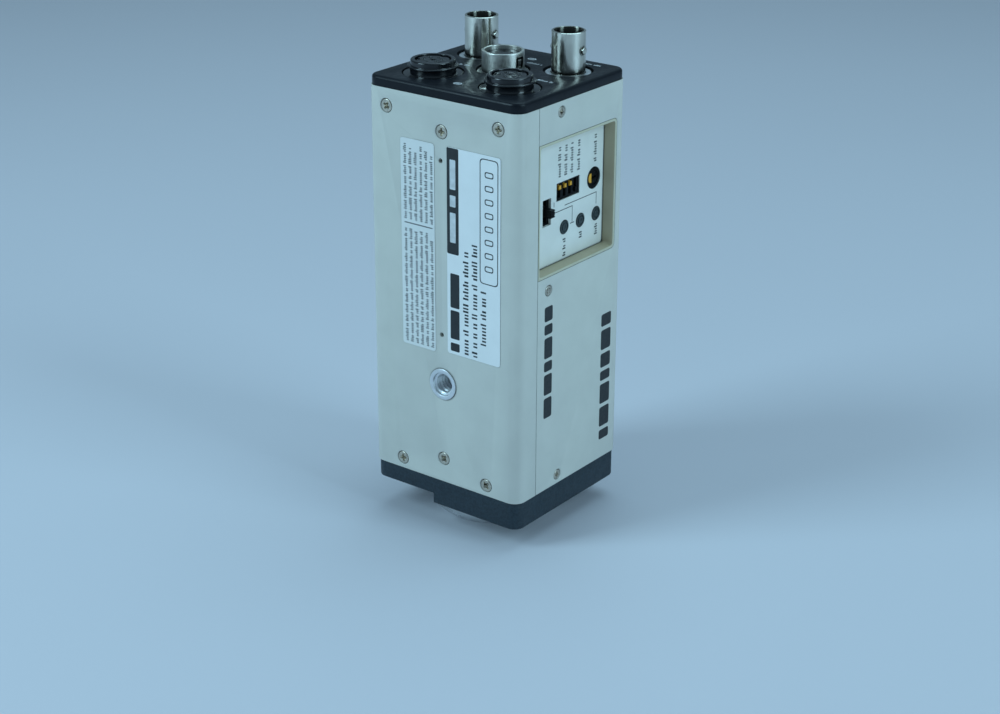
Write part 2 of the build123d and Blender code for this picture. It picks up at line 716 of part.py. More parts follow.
# Flat packages as (x of the foot, +1 or -1 side, y, z, size y, size z)
flat_packages = [
    (process_face, 1, -3.0, 64.0, 14.0, 14.0), (process_face, 1, 12.0, 62.0, 10.0, 10.0),
    (process_face, 1, -4.0, 88.0, 14.0, 14.0), (process_face, 1, 12.5, 86.0, 8.0, 16.0),
    (process_board_x, -1, -4.0, 60.0, 8.0, 14.0), (process_board_x, -1, 10.0, 62.0, 12.0, 12.0),
    (process_board_x, -1, 3.0, 88.0, 14.0, 14.0), (switch_board_x, -1, -6.0, 60.0, 8.0, 12.0),
    (switch_board_x, -1, 8.0, 64.0, 12.0, 12.0), (power_face, 1, 13.0, 58.0, 6.0, 10.0),
]
with BuildPart() as ic_packages:
    for x, facing, y, z, size_y, size_z in flat_packages:
        with BuildSketch(board_plane.offset(x)):
            with Locations((y, z)):
                Rectangle(size_y, size_z)
        extrude(amount=facing * 2.0)
    with BuildSketch(Plane.XY.offset(sensor_board_z + board)):
        with Locations((-11.0, 2.0), (11.0, 2.0)):
            Rectangle(8.0, 8.0)
    extrude(amount=1.8)
ic_packages.part.label = "ic_packages"
export_step(ic_packages.part, "parts/ic_packages.step")

capacitor_places = [(4.0, 10.0, -9.0, 58.0), (4.0, 10.0, 0.5, 58.0), (3.15, 8.0, -10.0, 102.0),
                    (3.15, 8.0, -2.0, 102.0), (3.15, 8.0, 6.0, 102.0)]
with BuildPart() as electrolytic_capacitors:
    for radius, height, y, z in capacitor_places:
        with BuildSketch(board_plane.offset(power_face)):
            with Locations((y, z)):
                Circle(radius)
        extrude(amount=height)
electrolytic_capacitors.part.label = "electrolytic_capacitors"
export_step(electrolytic_capacitors.part, "parts/electrolytic_capacitors.step")

with BuildPart() as dc_converter:
    with BuildSketch(board_plane.offset(power_face)):
        with Locations((3.0, 82.0)):
            RectangleRounded(24.0, 26.0, 0.8)
    extrude(amount=8.0)
    fillet(dc_converter.faces().sort_by(Axis.X)[-1].edges(), 0.6)
dc_converter.part.label = "dc_converter"
export_step(dc_converter.part, "parts/dc_converter.step")

# ---------------------------------------------------------------- tripod socket
floor_y = -half_depth + sheet
block_depth = 8.0
with BuildPart() as tripod_block:
    with BuildSketch(tripod_spot(0, tripod_z, floor_y)):
        RectangleRounded(24.0, 16.0, 1.0)
    extrude(amount=-block_depth)
    with Locations(tripod_spot(0, tripod_z, floor_y)):
        Hole(tripod_body_radius + 0.03, depth=block_depth)
tripod_block.part.label = "tripod_block"
export_step(tripod_block.part, "parts/tripod_block.step")

insert_lip = 0.35
with BuildPart() as tripod_insert:
    with BuildSketch(tripod_spot(0, tripod_z, -half_depth - insert_lip)):
        Circle(tripod_flange_radius)
    extrude(amount=-insert_lip)
    with BuildSketch(tripod_spot(0, tripod_z)):
        Circle(tripod_body_radius)
    extrude(amount=-(sheet + block_depth))
    fillet(tripod_insert.edges().sort_by(Axis.Y)[0], 0.25)
    with BuildSketch(tripod_spot(0, tripod_z, -half_depth - insert_lip)):
        Circle(tripod_thread_radius)
    extrude(amount=-tripod_thread_depth, mode=Mode.SUBTRACT)
    thread_mouth = tripod_insert.edges().group_by(Axis.Y)[0].sort_by(SortBy.LENGTH)[0]
    chamfer(thread_mouth, 0.6)
tripod_insert.part.label = "tripod_insert"
export_step(tripod_insert.part, "parts/tripod_insert.step")

# Brackets that take the middle screw of each flank
bracket_sheet = 1.2
bracket_x = half_width - sheet - 0.1
side_bracket_z = front_z + 62.0
with BuildPart() as side_brackets:
    with BuildSketch(Plane.XY.offset(side_bracket_z)):
        with BuildLine():
            FilletPolyline(
                (12.0, floor_y + bracket_sheet / 2),
                (bracket_x - bracket_sheet / 2, floor_y + bracket_sheet / 2),
                (bracket_x - bracket_sheet / 2, -6.5),
                radius=1.9,
            )
        trace(line_width=bracket_sheet)
    extrude(amount=10.4)
    with Locations(flank_spot(1, *flank_screw_places[1], x=bracket_x)):
        Hole(flank_shank_radius + 0.05, depth=bracket_sheet)
    mirror(about=Plane.YZ)
side_brackets.part.label = "side_brackets"
export_step(side_brackets.part, "parts/side_brackets.step")

# ---------------------------------------------------------------- rear end
with BuildPart() as rear_frame:
    with BuildSketch(Plane.XY.offset(rear_frame_z)):
        RectangleRounded(spigot_width, spigot_depth, spigot_radius)
        RectangleRounded(inner_width, inner_depth, 1.0, mode=Mode.SUBTRACT)
    extrude(amount=rear_plate_z - rear_frame_z)
    with BuildSketch(Plane.XY.offset(rear_plate_z)):
        with GridLocations(42.6, 40.4, 2, 2):
            Circle(2.6)
    extrude(amount=-8.0)
    with BuildSketch(Plane.XY.offset(rear_plate_z)):
        with GridLocations(42.6, 40.4, 2, 2):
            Circle(stud_radius + 0.03)
    extrude(amount=-7.0, mode=Mode.SUBTRACT)
    for x, z in bottom_screw_places[3:]:
        with Locations(tripod_spot(x, z, -spigot_depth / 2)):
            Hole(bottom_shank_radius + 0.03, depth=spigot_wall + 2.6)
    for side in (-1, 1):
        with Locations(flank_spot(side, *flank_screw_places[2], x=spigot_width / 2)):
            Hole(flank_shank_radius + 0.03, depth=spigot_wall + 0.5)
    for y, z in chassis_screw_places[2:]:
        with Locations(flank_spot(1, y, z, x=-inner_width / 2)):
            Hole(stud_radius + 0.02, depth=1.8)
    # Room for the control bezel's flange
    with BuildSketch(control_plane):
        sketch_box((-18.5, 22.6), (rear_frame_z, 121.0))
    extrude(amount=-2 * (sheet + spigot_wall), mode=Mode.SUBTRACT)
rear_frame.part.label = "rear_frame"
export_step(rear_frame.part, "parts/rear_frame.step")

pocket_width = body_width - 2 * (panel_inset + panel_skirt)
pocket_depth = body_depth - 2 * (panel_inset + panel_skirt)
bnc_places = [(-bnc_x, bnc_y), (bnc_x, bnc_y)]
din_places = [(-din_x, din_y), (din_x, din_y)]
multipin_place = (0, multipin_y)
bnc_neck = 4.6
din_neck = 6.2
multipin_neck = 5.5

with BuildPart() as rear_plate:
    with BuildSketch(Plane.XY.offset(rear_plate_z)):
        RectangleRounded(pocket_width - 0.2, pocket_depth - 0.2, 1.8)
        with Locations(*bnc_places):
            Circle(bnc_neck + 0.1, mode=Mode.SUBTRACT)
        with Locations(*din_places):
            Circle(din_neck + 0.1, mode=Mode.SUBTRACT)
        with Locations(multipin_place):
            Circle(multipin_neck + 0.1, mode=Mode.SUBTRACT)
    extrude(amount=rear_plate_thickness)
    with Locations(Plane.XY.offset(rear_plate_top_z)):
        with GridLocations(42.6, 40.4, 2, 2):
            CounterSinkHole(stud_radius + 0.15, 1.9, rear_plate_thickness, counter_sink_angle=sink_angle)
rear_plate.part.label = "rear_plate"
export_step(rear_plate.part, "parts/rear_plate.step")

with BuildPart() as rear_panel:
    with BuildSketch(Plane.XY.offset(case_end_z)):
        RectangleRounded(body_width - 2 * panel_inset, body_depth - 2 * panel_inset, corner_radius)
    extrude(amount=rear_z - case_end_z)
    fillet(rear_panel.faces().sort_by(Axis.Z)[-1].edges(), 0.9)
    with BuildSketch(Plane.XY.offset(case_end_z)):
        RectangleRounded(pocket_width, pocket_depth, 1.9)
    extrude(amount=rear_plate_top_z - case_end_z, mode=Mode.SUBTRACT)
    with BuildSketch(Plane.XY.offset(rear_z)):
        with Locations(*bnc_places):
            Circle(bnc_hole_radius)
        with Locations(*din_places):
            Circle(din_hole_radius)
        with Locations(multipin_place):
            Circle(multipin_hole_radius)
    extrude(amount=case_end_z - rear_z, mode=Mode.SUBTRACT)
rear_panel.part.label = "rear_panel"
export_step(rear_panel.part, "parts/rear_panel.step")

# ---------------------------------------------------------------- video sockets
flange_sink = 0.5
bnc_bore = 4.1
bnc_flange_radius = bnc_hole_radius - 0.5
bnc_body_end_z = 122.5
lug_z = bnc_top_z - 5.2
lug_reach = 5.6
for name, x in (("bnc_shell_a", -bnc_x), ("bnc_shell_b", bnc_x)):
    with BuildPart() as bnc_shell:
        with BuildSketch(Plane.XY.offset(bnc_body_end_z)):
            with Locations((x, bnc_y)):
                Circle(bnc_neck)
        extrude(amount=rear_plate_top_z - bnc_body_end_z)
        with BuildSketch(Plane.XY.offset(rear_plate_top_z)):
            with Locations((x, bnc_y)):
                Circle(bnc_flange_radius)
        extrude(amount=rear_z - flange_sink - rear_plate_top_z)
        with BuildSketch(Plane.XY.offset(rear_z - flange_sink)):
            with Locations((x, bnc_y)):
                Circle(bnc_radius)
        extrude(amount=bnc_top_z - rear_z + flange_sink)
        chamfer(bnc_shell.edges().sort_by(Axis.Z)[-1], 0.25)
        # Bayonet lugs
        with BuildSketch(Plane(origin=(x, bnc_y, lug_z), x_dir=(0, 1, 0), z_dir=(1, 0, 0))):
            Circle(1.0)
        extrude(amount=lug_reach, both=True)
        with BuildSketch(Plane.XY.offset(bnc_top_z)):
            with Locations((x, bnc_y)):
                Circle(bnc_bore)
        extrude(amount=rear_z + 1.4 - bnc_top_z, mode=Mode.SUBTRACT)
        with BuildSketch(Plane.XY.offset(bnc_top_z)):
            with Locations((x, bnc_y)):
                Circle(2.6)
        extrude(amount=bnc_body_end_z - bnc_top_z, mode=Mode.SUBTRACT)
    bnc_shell.part.label = name
    export_step(bnc_shell.part, f"parts/{name}.step")

with BuildPart() as bnc_insulators:
    with BuildSketch(Plane.XY.offset(bnc_body_end_z)):
        with Locations(*bnc_places):
            Circle(2.55)
            Circle(1.1, mode=Mode.SUBTRACT)
    extrude(amount=bnc_top_z - 3.0 - bnc_body_end_z)
bnc_insulators.part.label = "bnc_insulators"
export_step(bnc_insulators.part, "parts/bnc_insulators.step")

with BuildPart() as bnc_contacts:
    with BuildSketch(Plane.XY.offset(bnc_body_end_z)):
        with Locations(*bnc_places):
            Circle(1.05)
    extrude(amount=bnc_top_z - 3.6 - bnc_body_end_z)
    with BuildSketch(Plane.XY.offset(bnc_top_z - 3.6)):
        with Locations(*bnc_places):
            Circle(0.7)
            with Locations((0, 0)):
                Rectangle(2.6, 0.25)
    extrude(amount=-5.0, mode=Mode.SUBTRACT)
    with BuildSketch(Plane.XY.offset(bnc_body_end_z)):
        with Locations(*bnc_places):
            Circle(0.5)
    extrude(amount=rear_board_z - 1.0 - bnc_body_end_z)
bnc_contacts.part.label = "bnc_contacts"
export_step(bnc_contacts.part, "parts/bnc_contacts.step")

# ---------------------------------------------------------------- round multi-way sockets
din_skirt_z = front_z + 128.5
din_top_z = front_z + 130.05
din_base_z = 121.0
din_flange_radius = din_hole_radius - 0.35
din_pin_ring = 2.7
din_pin_angles = [30 + 60 * i for i in range(6)]
for name, x in (("din_housing_a", -din_x), ("din_housing_b", din_x)):
    with BuildPart() as din_housing:
        with BuildSketch(Plane(origin=(x, din_y, 0), x_dir=(1, 0, 0), z_dir=(0, -1, 0))):
            with BuildLine():
                Polyline(
                    (0, din_base_z),
                    (din_neck, din_base_z),
                    (din_neck, rear_plate_top_z),
                    (din_flange_radius, rear_plate_top_z),
                    (din_flange_radius, rear_z - 0.25),
                    (din_neck + 0.3, rear_z - 0.25),
                    (din_neck + 0.3, din_skirt_z - 0.8),
                    (din_neck + 0.95, din_skirt_z - 0.55),
                    (din_neck + 0.95, din_skirt_z - 0.15),
                    (din_neck + 0.75, din_skirt_z),
                    (6.35, din_skirt_z),
                    (6.35, din_top_z - 0.2),
                    (6.15, din_top_z),
                    (5.1, din_top_z),
                    (5.1, din_top_z - 2.4),
                    (4.6, din_top_z - 2.4),
                    (4.6, din_top_z - 0.3),
                    (0, din_top_z - 0.3),
                    close=True,
                )
            make_face()
        revolve(axis=Axis((x, din_y, 0), (0, 0, 1)))
        # Keyways around the insert and the contact holes
        with BuildSketch(Plane.XY.offset(din_top_z)):
            for angle in (90, 210, 330):
                with Locations(*ring_of((x, din_y), 4.3, [angle])):
                    Rectangle(1.3, 1.5, rotation=angle)
        extrude(amount=-2.4, mode=Mode.SUBTRACT)
        with BuildSketch(Plane.XY.offset(din_top_z)):
            with Locations(*ring_of((x, din_y), din_pin_ring, din_pin_angles)):
                Circle(0.55)
            with Locations((x, din_y)):
                Rectangle(1.8, 1.0)
        extrude(amount=-5.0, mode=Mode.SUBTRACT)
        with BuildSketch(Plane.XY.offset(din_base_z)):
            with Locations(*ring_of((x, din_y), din_pin_ring, din_pin_angles)):
                Circle(0.3)
        extrude(amount=din_top_z - 4.0 - din_base_z, mode=Mode.SUBTRACT)
    din_housing.part.label = name
    export_step(din_housing.part, f"parts/{name}.step")

multipin_body_z = 123.0
multipin_insert_z = multipin_top_z - 1.1
multipin_bore = 4.85
with BuildPart() as multipin_shell:
    with BuildSketch(Plane.XY.offset(multipin_body_z)):
        with Locations(multipin_place):
            Circle(multipin_neck)
    extrude(amount=rear_plate_top_z - multipin_body_z)
    with BuildSketch(Plane.XY.offset(rear_plate_top_z)):
        with Locations(multipin_place):
            Circle(multipin_hole_radius - 0.4)
    extrude(amount=rear_z - flange_sink - rear_plate_top_z)
    with BuildSketch(Plane.XY.offset(rear_plate_top_z)):
        with Locations(multipin_place):
            Circle(multipin_radius)
    extrude(amount=multipin_top_z - rear_plate_top_z)
    fillet(multipin_shell.edges().sort_by(Axis.Z)[-1], 0.3)
    with BuildSketch(Plane.XY.offset(multipin_top_z)):
        with Locations(multipin_place):
            Circle(multipin_bore)
    extrude(amount=multipin_body_z - multipin_top_z, mode=Mode.SUBTRACT)
    # Latch window in the +X wall
    with BuildSketch(board_plane.offset(3.0)):
        with Locations((multipin_y, rear_z + 2.5)):
            RectangleRounded(3.2, 3.3, 0.5)
    extrude(amount=4.0, mode=Mode.SUBTRACT)
multipin_shell.part.label = "multipin_shell"
export_step(multipin_shell.part, "parts/multipin_shell.step")

contact_places = ring_of(multipin_place, 2.6, [60 * i for i in range(6)])
with BuildPart() as multipin_insert:
    with BuildSketch(Plane.XY.offset(multipin_body_z)):
        with Locations(multipin_place):
            Circle(multipin_bore - 0.05)
    extrude(amount=multipin_insert_z - multipin_body_z)
    with BuildSketch(Plane.XY.offset(multipin_body_z)):
        with Locations(*contact_places):
            Circle(0.5)
    extrude(amount=multipin_insert_z - multipin_body_z, mode=Mode.SUBTRACT)
multipin_insert.part.label = "multipin_insert"
export_step(multipin_insert.part, "parts/multipin_insert.step")

din_contact_places = [spot for place in din_places for spot in ring_of(place, din_pin_ring, din_pin_angles)]
with BuildPart() as socket_contacts:
    with BuildSketch(Plane.XY.offset(rear_board_z - 1.0)):
        with Locations(*contact_places):
            Circle(0.45)
    extrude(amount=multipin_insert_z - 0.3 - (rear_board_z - 1.0))
    with BuildSketch(Plane.XY.offset(rear_board_z - 1.0)):
        with Locations(*din_contact_places):
            Circle(0.27)
    extrude(amount=din_top_z - 3.0 - (rear_board_z - 1.0))
socket_contacts.part.label = "socket_contacts"
export_step(socket_contacts.part, "parts/socket_contacts.step")

nut_height = 2.0
with BuildPart() as connector_nuts:
    with BuildSketch(Plane.XY.offset(rear_plate_z)):
        with Locations(*bnc_places):
            RegularPolygon(6.4, 6)
            Circle(bnc_neck + 0.03, mode=Mode.SUBTRACT)
        with Locations(*din_places):
            Circle(7.6)
            Circle(din_neck + 0.03, mode=Mode.SUBTRACT)
        with Locations(multipin_place):
            Circle(6.9)
            Circle(multipin_neck + 0.03, mode=Mode.SUBTRACT)
    extrude(amount=-nut_height)
connector_nuts.part.label = "connector_nuts"
export_step(connector_nuts.part, "parts/connector_nuts.step")

with BuildPart() as rear_board:
    with BuildSketch(Plane.XY.offset(rear_board_z)):
        RectangleRounded(41.0, 41.0, 1.0)
        with Locations(*bnc_places):
            Circle(0.6, mode=Mode.SUBTRACT)
        with Locations(*contact_places):
            Circle(0.55, mode=Mode.SUBTRACT)
        with Locations(*din_contact_places):
            Circle(0.37, mode=Mode.SUBTRACT)
        with Locations(*rear_post_places):
            Circle(stud_radius + 0.1, mode=Mode.SUBTRACT)
    extrude(amount=board)
rear_board.part.label = "rear_board"
export_step(rear_board.part, "parts/rear_board.step")

# ---------------------------------------------------------------- screws
bottom_screw = screw(bottom_head_radius, bottom_shank_radius, 4.6)
with BuildPart() as bottom_screws:
    with Locations(*[tripod_spot(x, z) for x, z in bottom_screw_places]):
        add(bottom_screw)
bottom_screws.part.label = "bottom_screws"
export_step(bottom_screws.part, "parts/bottom_screws.step")

flank_screw = screw(flank_head_radius, flank_shank_radius, 3.6)
with BuildPart() as flank_screws:
    for side in (-1, 1):
        with Locations(*[flank_spot(side, y, z) for y, z in flank_screw_places]):
            add(flank_screw)
flank_screws.part.label = "flank_screws"
export_step(flank_screws.part, "parts/flank_screws.step")

plate_screw = screw(1.87, stud_radius, 6.0)
with BuildPart() as rear_plate_screws:
    with Locations(Plane.XY.offset(rear_plate_top_z)):
        with GridLocations(42.6, 40.4, 2, 2):
            add(plate_screw)
rear_plate_screws.part.label = "rear_plate_screws"
export_step(rear_plate_screws.part, "parts/rear_plate_screws.step")

pan_head_radius = 1.9
bracket_screw = pan_screw(pan_head_radius, stud_radius, 4.4)
board_screw = pan_screw(pan_head_radius, stud_radius, 4.6)
chassis_screw = pan_screw(pan_head_radius, stud_radius, 2.8)
sensor_screw = pan_screw(pan_head_radius, stud_radius, board + sensor_post_length + 1.8)
with BuildPart() as board_screws:
    with Locations(Plane.XY.offset(package_z)):
        with GridLocations(36.0, 28.0, 2, 2):
            add(bracket_screw)
    with Locations(*[board_spot(switch_base_x, y, z) for y, z in post_places]):
        add(board_screw)
    with Locations(*[flank_spot(-1, y, z, x=-chassis_x) for y, z in post_places]):
        add(board_screw)
    with Locations(*[board_spot(lower_face, y, z) for y, z in chassis_screw_places]):
        add(chassis_screw)
    with Locations(*[Plane(origin=(x, y, rear_board_z), z_dir=(0, 0, -1)) for x, y in rear_post_places]):
        add(board_screw)
    with Locations(*[(x, y, sensor_board_z + board) for x, y in sensor_post_places]):
        add(sensor_screw)
board_screws.part.label = "board_screws"
export_step(board_screws.part, "parts/board_screws.step")

# ---------------------------------------------------------------- labels
label_thickness = 0.12
label_faces = {
    "rating_label": ((1.9, 20.5), (front_z + 50.0, front_z + 110.6)),
    "notice_label": ((-14.5, -2.5), (front_z + 49.1, front_z + 110.5)),
}
for name, (xs, zs) in label_faces.items():
    with BuildPart() as label:
        with BuildSketch(tripod_plane) as label_outline:
            sketch_box(xs, zs)
            fillet(label_outline.vertices(), 0.8)
        extrude(amount=label_thickness)
    label.part.label = name
    export_step(label.part, f"parts/{name}.step")
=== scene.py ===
import json
import random
from math import cos, radians, sin, tau

import bmesh
import bpy
from mathutils import Matrix, Vector


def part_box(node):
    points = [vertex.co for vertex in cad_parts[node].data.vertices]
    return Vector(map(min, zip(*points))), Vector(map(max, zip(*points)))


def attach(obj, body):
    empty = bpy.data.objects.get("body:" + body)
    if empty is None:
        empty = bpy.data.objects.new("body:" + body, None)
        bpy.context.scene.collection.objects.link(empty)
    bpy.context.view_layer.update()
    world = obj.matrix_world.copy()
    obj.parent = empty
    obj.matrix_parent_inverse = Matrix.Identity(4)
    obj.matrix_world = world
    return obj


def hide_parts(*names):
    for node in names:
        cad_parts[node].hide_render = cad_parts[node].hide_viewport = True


# The looks of a box-type video camera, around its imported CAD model.  Everything is in the part's own
# frame: +Z from the lens mount to the rear sockets, -Y the tripod side, +X the control side.  Shapes are
# drawn in millimetres and placed in metres; lamps and camera are placed in metres.
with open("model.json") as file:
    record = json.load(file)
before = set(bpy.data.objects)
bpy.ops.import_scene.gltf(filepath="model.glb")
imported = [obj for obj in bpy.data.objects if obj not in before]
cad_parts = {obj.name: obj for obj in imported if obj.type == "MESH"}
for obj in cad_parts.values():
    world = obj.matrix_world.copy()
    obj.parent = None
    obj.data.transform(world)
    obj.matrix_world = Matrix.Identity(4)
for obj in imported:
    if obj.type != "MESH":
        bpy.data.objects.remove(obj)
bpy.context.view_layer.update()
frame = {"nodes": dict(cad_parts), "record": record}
nodes = frame["nodes"]

MM = 0.001
WELD = 1e-7  # metres between points that are one
HOUSING = "housing"


# ---------------------------------------------------------------- places
def low(node):
    """A CAD node's lowest corner, in millimetres."""
    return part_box(node)[0] / MM


def high(node):
    """A CAD node's highest corner, in millimetres."""
    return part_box(node)[1] / MM


def middle(node):
    """The middle of a CAD node's box, in millimetres."""
    return (low(node) + high(node)) / 2


def facing(origin, x_axis, out_axis):
    """Matrix from local millimetres to the part's frame: local X along x_axis, local Z along out_axis."""
    out = Vector(out_axis)
    across = Vector(x_axis)
    axes = Matrix((across, out.cross(across), out)).transposed().to_4x4()
    return Matrix.Scale(MM, 4) @ Matrix.Translation(Vector(origin)) @ axes


def on_tripod_side(x, z, y):
    """Local X to the part's +X, local Y up, local Z out of the tripod side."""
    return facing((x, y, z), (1, 0, 0), (0, -1, 0))


def on_flank(side, y, z, x=None):
    """Local Y up, local Z out of the +X (side 1) or -X (side -1) flank."""
    x = side * high("top_cover").x if x is None else x
    return facing((x, y, z), (0, side, 0), (side, 0, 0))


def on_top(x=0, y=0, z=0):
    """Local axes along the part's own."""
    return facing((x, y, z), (1, 0, 0), (0, 0, 1))


def slot_of(node):
    """The material slot the record gives a CAD node."""
    return next(entry["material_slot"] for entry in frame["record"]["subparts"] if entry["node"] == node)


def islands(node):
    """Boxes (low, high), in millimetres, of the separate solids in a CAD node, by x and then z."""
    bm = bmesh.new()
    bm.from_mesh(nodes[node].data)
    bmesh.ops.remove_doubles(bm, verts=bm.verts, dist=WELD)
    left = set(bm.verts)
    boxes = []
    while left:
        found = {left.pop()}
        frontier = list(found)
        while frontier:
            vert = frontier.pop()
            for edge in vert.link_edges:
                other = edge.other_vert(vert)
                if other in left:
                    left.discard(other)
                    found.add(other)
                    frontier.append(other)
        axes = [[vert.co[i] / MM for vert in found] for i in range(3)]
        boxes.append((Vector([min(values) for values in axes]), Vector([max(values) for values in axes])))
    bm.free()
    return sorted(boxes, key=lambda box: (round(box[0].x, 2), round(box[0].z, 2)))


# ---------------------------------------------------------------- mesh making
ON_AXIS = 1e-6  # millimetres from a lathe's axis below which a ring is a point
ARC_SHARE = 0.48  # the most of a side that the arc at one of its ends may take


def rounded(points, steps=4):
    """A closed outline in which each (a, b, radius) corner becomes an arc and each (a, b) corner stays."""
    outline = []
    for i, point in enumerate(points):
        here = Vector(point[:2])
        if len(point) == 2:
            outline.append(tuple(here))
            continue
        before = Vector(points[i - 1][:2]) - here
        after = Vector(points[(i + 1) % len(points)][:2]) - here
        reach = min(point[2], before.length * ARC_SHARE, after.length * ARC_SHARE)
        start = here + before.normalized() * reach
        end = here + after.normalized() * reach
        for k in range(steps + 1):
            t = k / steps
            outline.append(tuple(start * (1 - t) ** 2 + here * 2 * t * (1 - t) + end * t * t))
    return outline


def lathe(bm, profile, place, around=96, shape=None):
    """Revolves a closed (r, z) profile about local Z. shape(r, z, angle) may vary the radius."""
    rings = []
    for r, z in profile:
        if r < ON_AXIS:
            rings.append([bm.verts.new(place @ Vector((0, 0, z)))])
            continue
        ring = []
        for k in range(around):
            angle = tau * k / around
            radius = shape(r, z, angle) if shape else r
            ring.append(bm.verts.new(place @ Vector((radius * cos(angle), radius * sin(angle), z))))
        rings.append(ring)
    for first, second in zip(rings, rings[1:] + rings[:1]):
        if len(first) == 1 and len(second) == 1:
            continue
        for k in range(around):
            corners = [first[k % len(first)], first[(k + 1) % len(first)]]
            corners += [second[(k + 1) % len(second)], second[k % len(second)]]
            bm.faces.new(list(dict.fromkeys(corners)))
    return bm


def block(bm, lower_outline, upper_outline, bottom, top, place):
    """A closed block between two outlines of equally many points, at heights bottom and top."""
    lower = [bm.verts.new(place @ Vector((x, y, bottom))) for x, y in lower_outline]
    upper = [bm.verts.new(place @ Vector((x, y, top))) for x, y in upper_outline]
    bm.faces.new(lower)
    bm.faces.new(upper)
    for i in range(len(lower)):
        j = (i + 1) % len(lower)
        bm.faces.new((lower[i], lower[j], upper[j], upper[i]))
    return bm


def prism(bm, outline, bottom, top, place):
    """Extrudes a closed local outline from height bottom to height top."""
    return block(bm, outline, outline, bottom, top, place)


def box_outline(x0, y0, x1, y1, radius=0.0):
    """A rectangle's outline, with round corners if it has a radius."""
    corners = [(x0, y0), (x1, y0), (x1, y1), (x0, y1)]
    return rounded([(*corner, radius) for corner in corners]) if radius else corners


def centred_box(width, depth):
    """A rectangle's outline about the local origin."""
    return box_outline(-width / 2, -depth / 2, width / 2, depth / 2)


def scratch_object(bm):
    """A throwaway object that holds a bmesh for a modifier to work on."""
    bmesh.ops.recalc_face_normals(bm, faces=bm.faces)
    mesh = bpy.data.meshes.new("scratch")
    bm.to_mesh(mesh)
    bm.free()
    thing = bpy.data.objects.new("scratch", mesh)
    bpy.context.scene.collection.objects.link(thing)
    return thing


def carve(bm, *tools):
    """Cuts closed shapes out of a closed shape and returns the result.

    The cuts are made a thousand times larger, where Blender's tolerances are small against the shapes.
    """
    scale_up = Matrix.Scale(1 / MM, 4)
    for shape in (bm, *tools):
        bmesh.ops.transform(shape, matrix=scale_up, verts=shape.verts)
    target = scratch_object(bm)
    cutters = [scratch_object(tool) for tool in tools]
    for cutter in cutters:
        cut = target.modifiers.new("cut", "BOOLEAN")
        cut.operation = "DIFFERENCE"
        cut.solver = "EXACT"
        cut.object = cutter
    shown = target.evaluated_get(bpy.context.evaluated_depsgraph_get())
    result = bmesh.new()
    result.from_mesh(shown.to_mesh())
    shown.to_mesh_clear()
    for thing in (target, *cutters):
        mesh = thing.data
        bpy.data.objects.remove(thing)
        bpy.data.meshes.remove(mesh)
    bmesh.ops.transform(result, matrix=Matrix.Scale(MM, 4), verts=result.verts)
    return result


FLAT_ANGLE = radians(0.4)  # faces that meet at less are one face
SMOOTH_ANGLE = radians(32)  # edges that turn by less are shaded smooth


def soften(bm, width, angle=30):
    """Rounds every edge sharper than the angle, by a width in millimetres."""
    bmesh.ops.remove_doubles(bm, verts=bm.verts, dist=WELD)
    bmesh.ops.dissolve_limit(bm, angle_limit=FLAT_ANGLE, verts=bm.verts, edges=bm.edges)
    shared = [edge for edge in bm.edges if len(edge.link_faces) == 2]
    sharp = [edge for edge in shared if edge.calc_face_angle() > radians(angle)]
    bmesh.ops.bevel(
        bm, geom=sharp, offset=width * MM, segments=2, profile=0.5, affect="EDGES", clamp_overlap=True
    )
    return bm


def piece(name, bm, slot, body=HOUSING, stands_for=()):
    """Makes a bmesh into a piece of the object, riding a body and finished from a slot."""
    bmesh.ops.recalc_face_normals(bm, faces=bm.faces)
    mesh = bpy.data.meshes.new(name)
    bm.to_mesh(mesh)
    bm.free()
    mesh.shade_smooth()
    mesh.set_sharp_from_angle(angle=SMOOTH_ANGLE)
    mesh.materials.append(finish(slot))
    made = bpy.data.objects.new(name, mesh)
    bpy.context.scene.collection.objects.link(made)
    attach(made, body)
    if stands_for:
        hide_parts(*stands_for)


def refined(node, width):
    """A copy of a CAD node with its edges rounded, standing for the node."""
    bm = bmesh.new()
    bm.from_mesh(nodes[node].data)
    piece(f"{node}_skin", soften(bm, width), slot_of(node), stands_for=(node,))


# ---------------------------------------------------------------- materials
# The colour sockets of a Mix node, which shares their names with sockets of other kinds
MIX_FIRST, MIX_SECOND, MIX_RESULT = 6, 7, 2


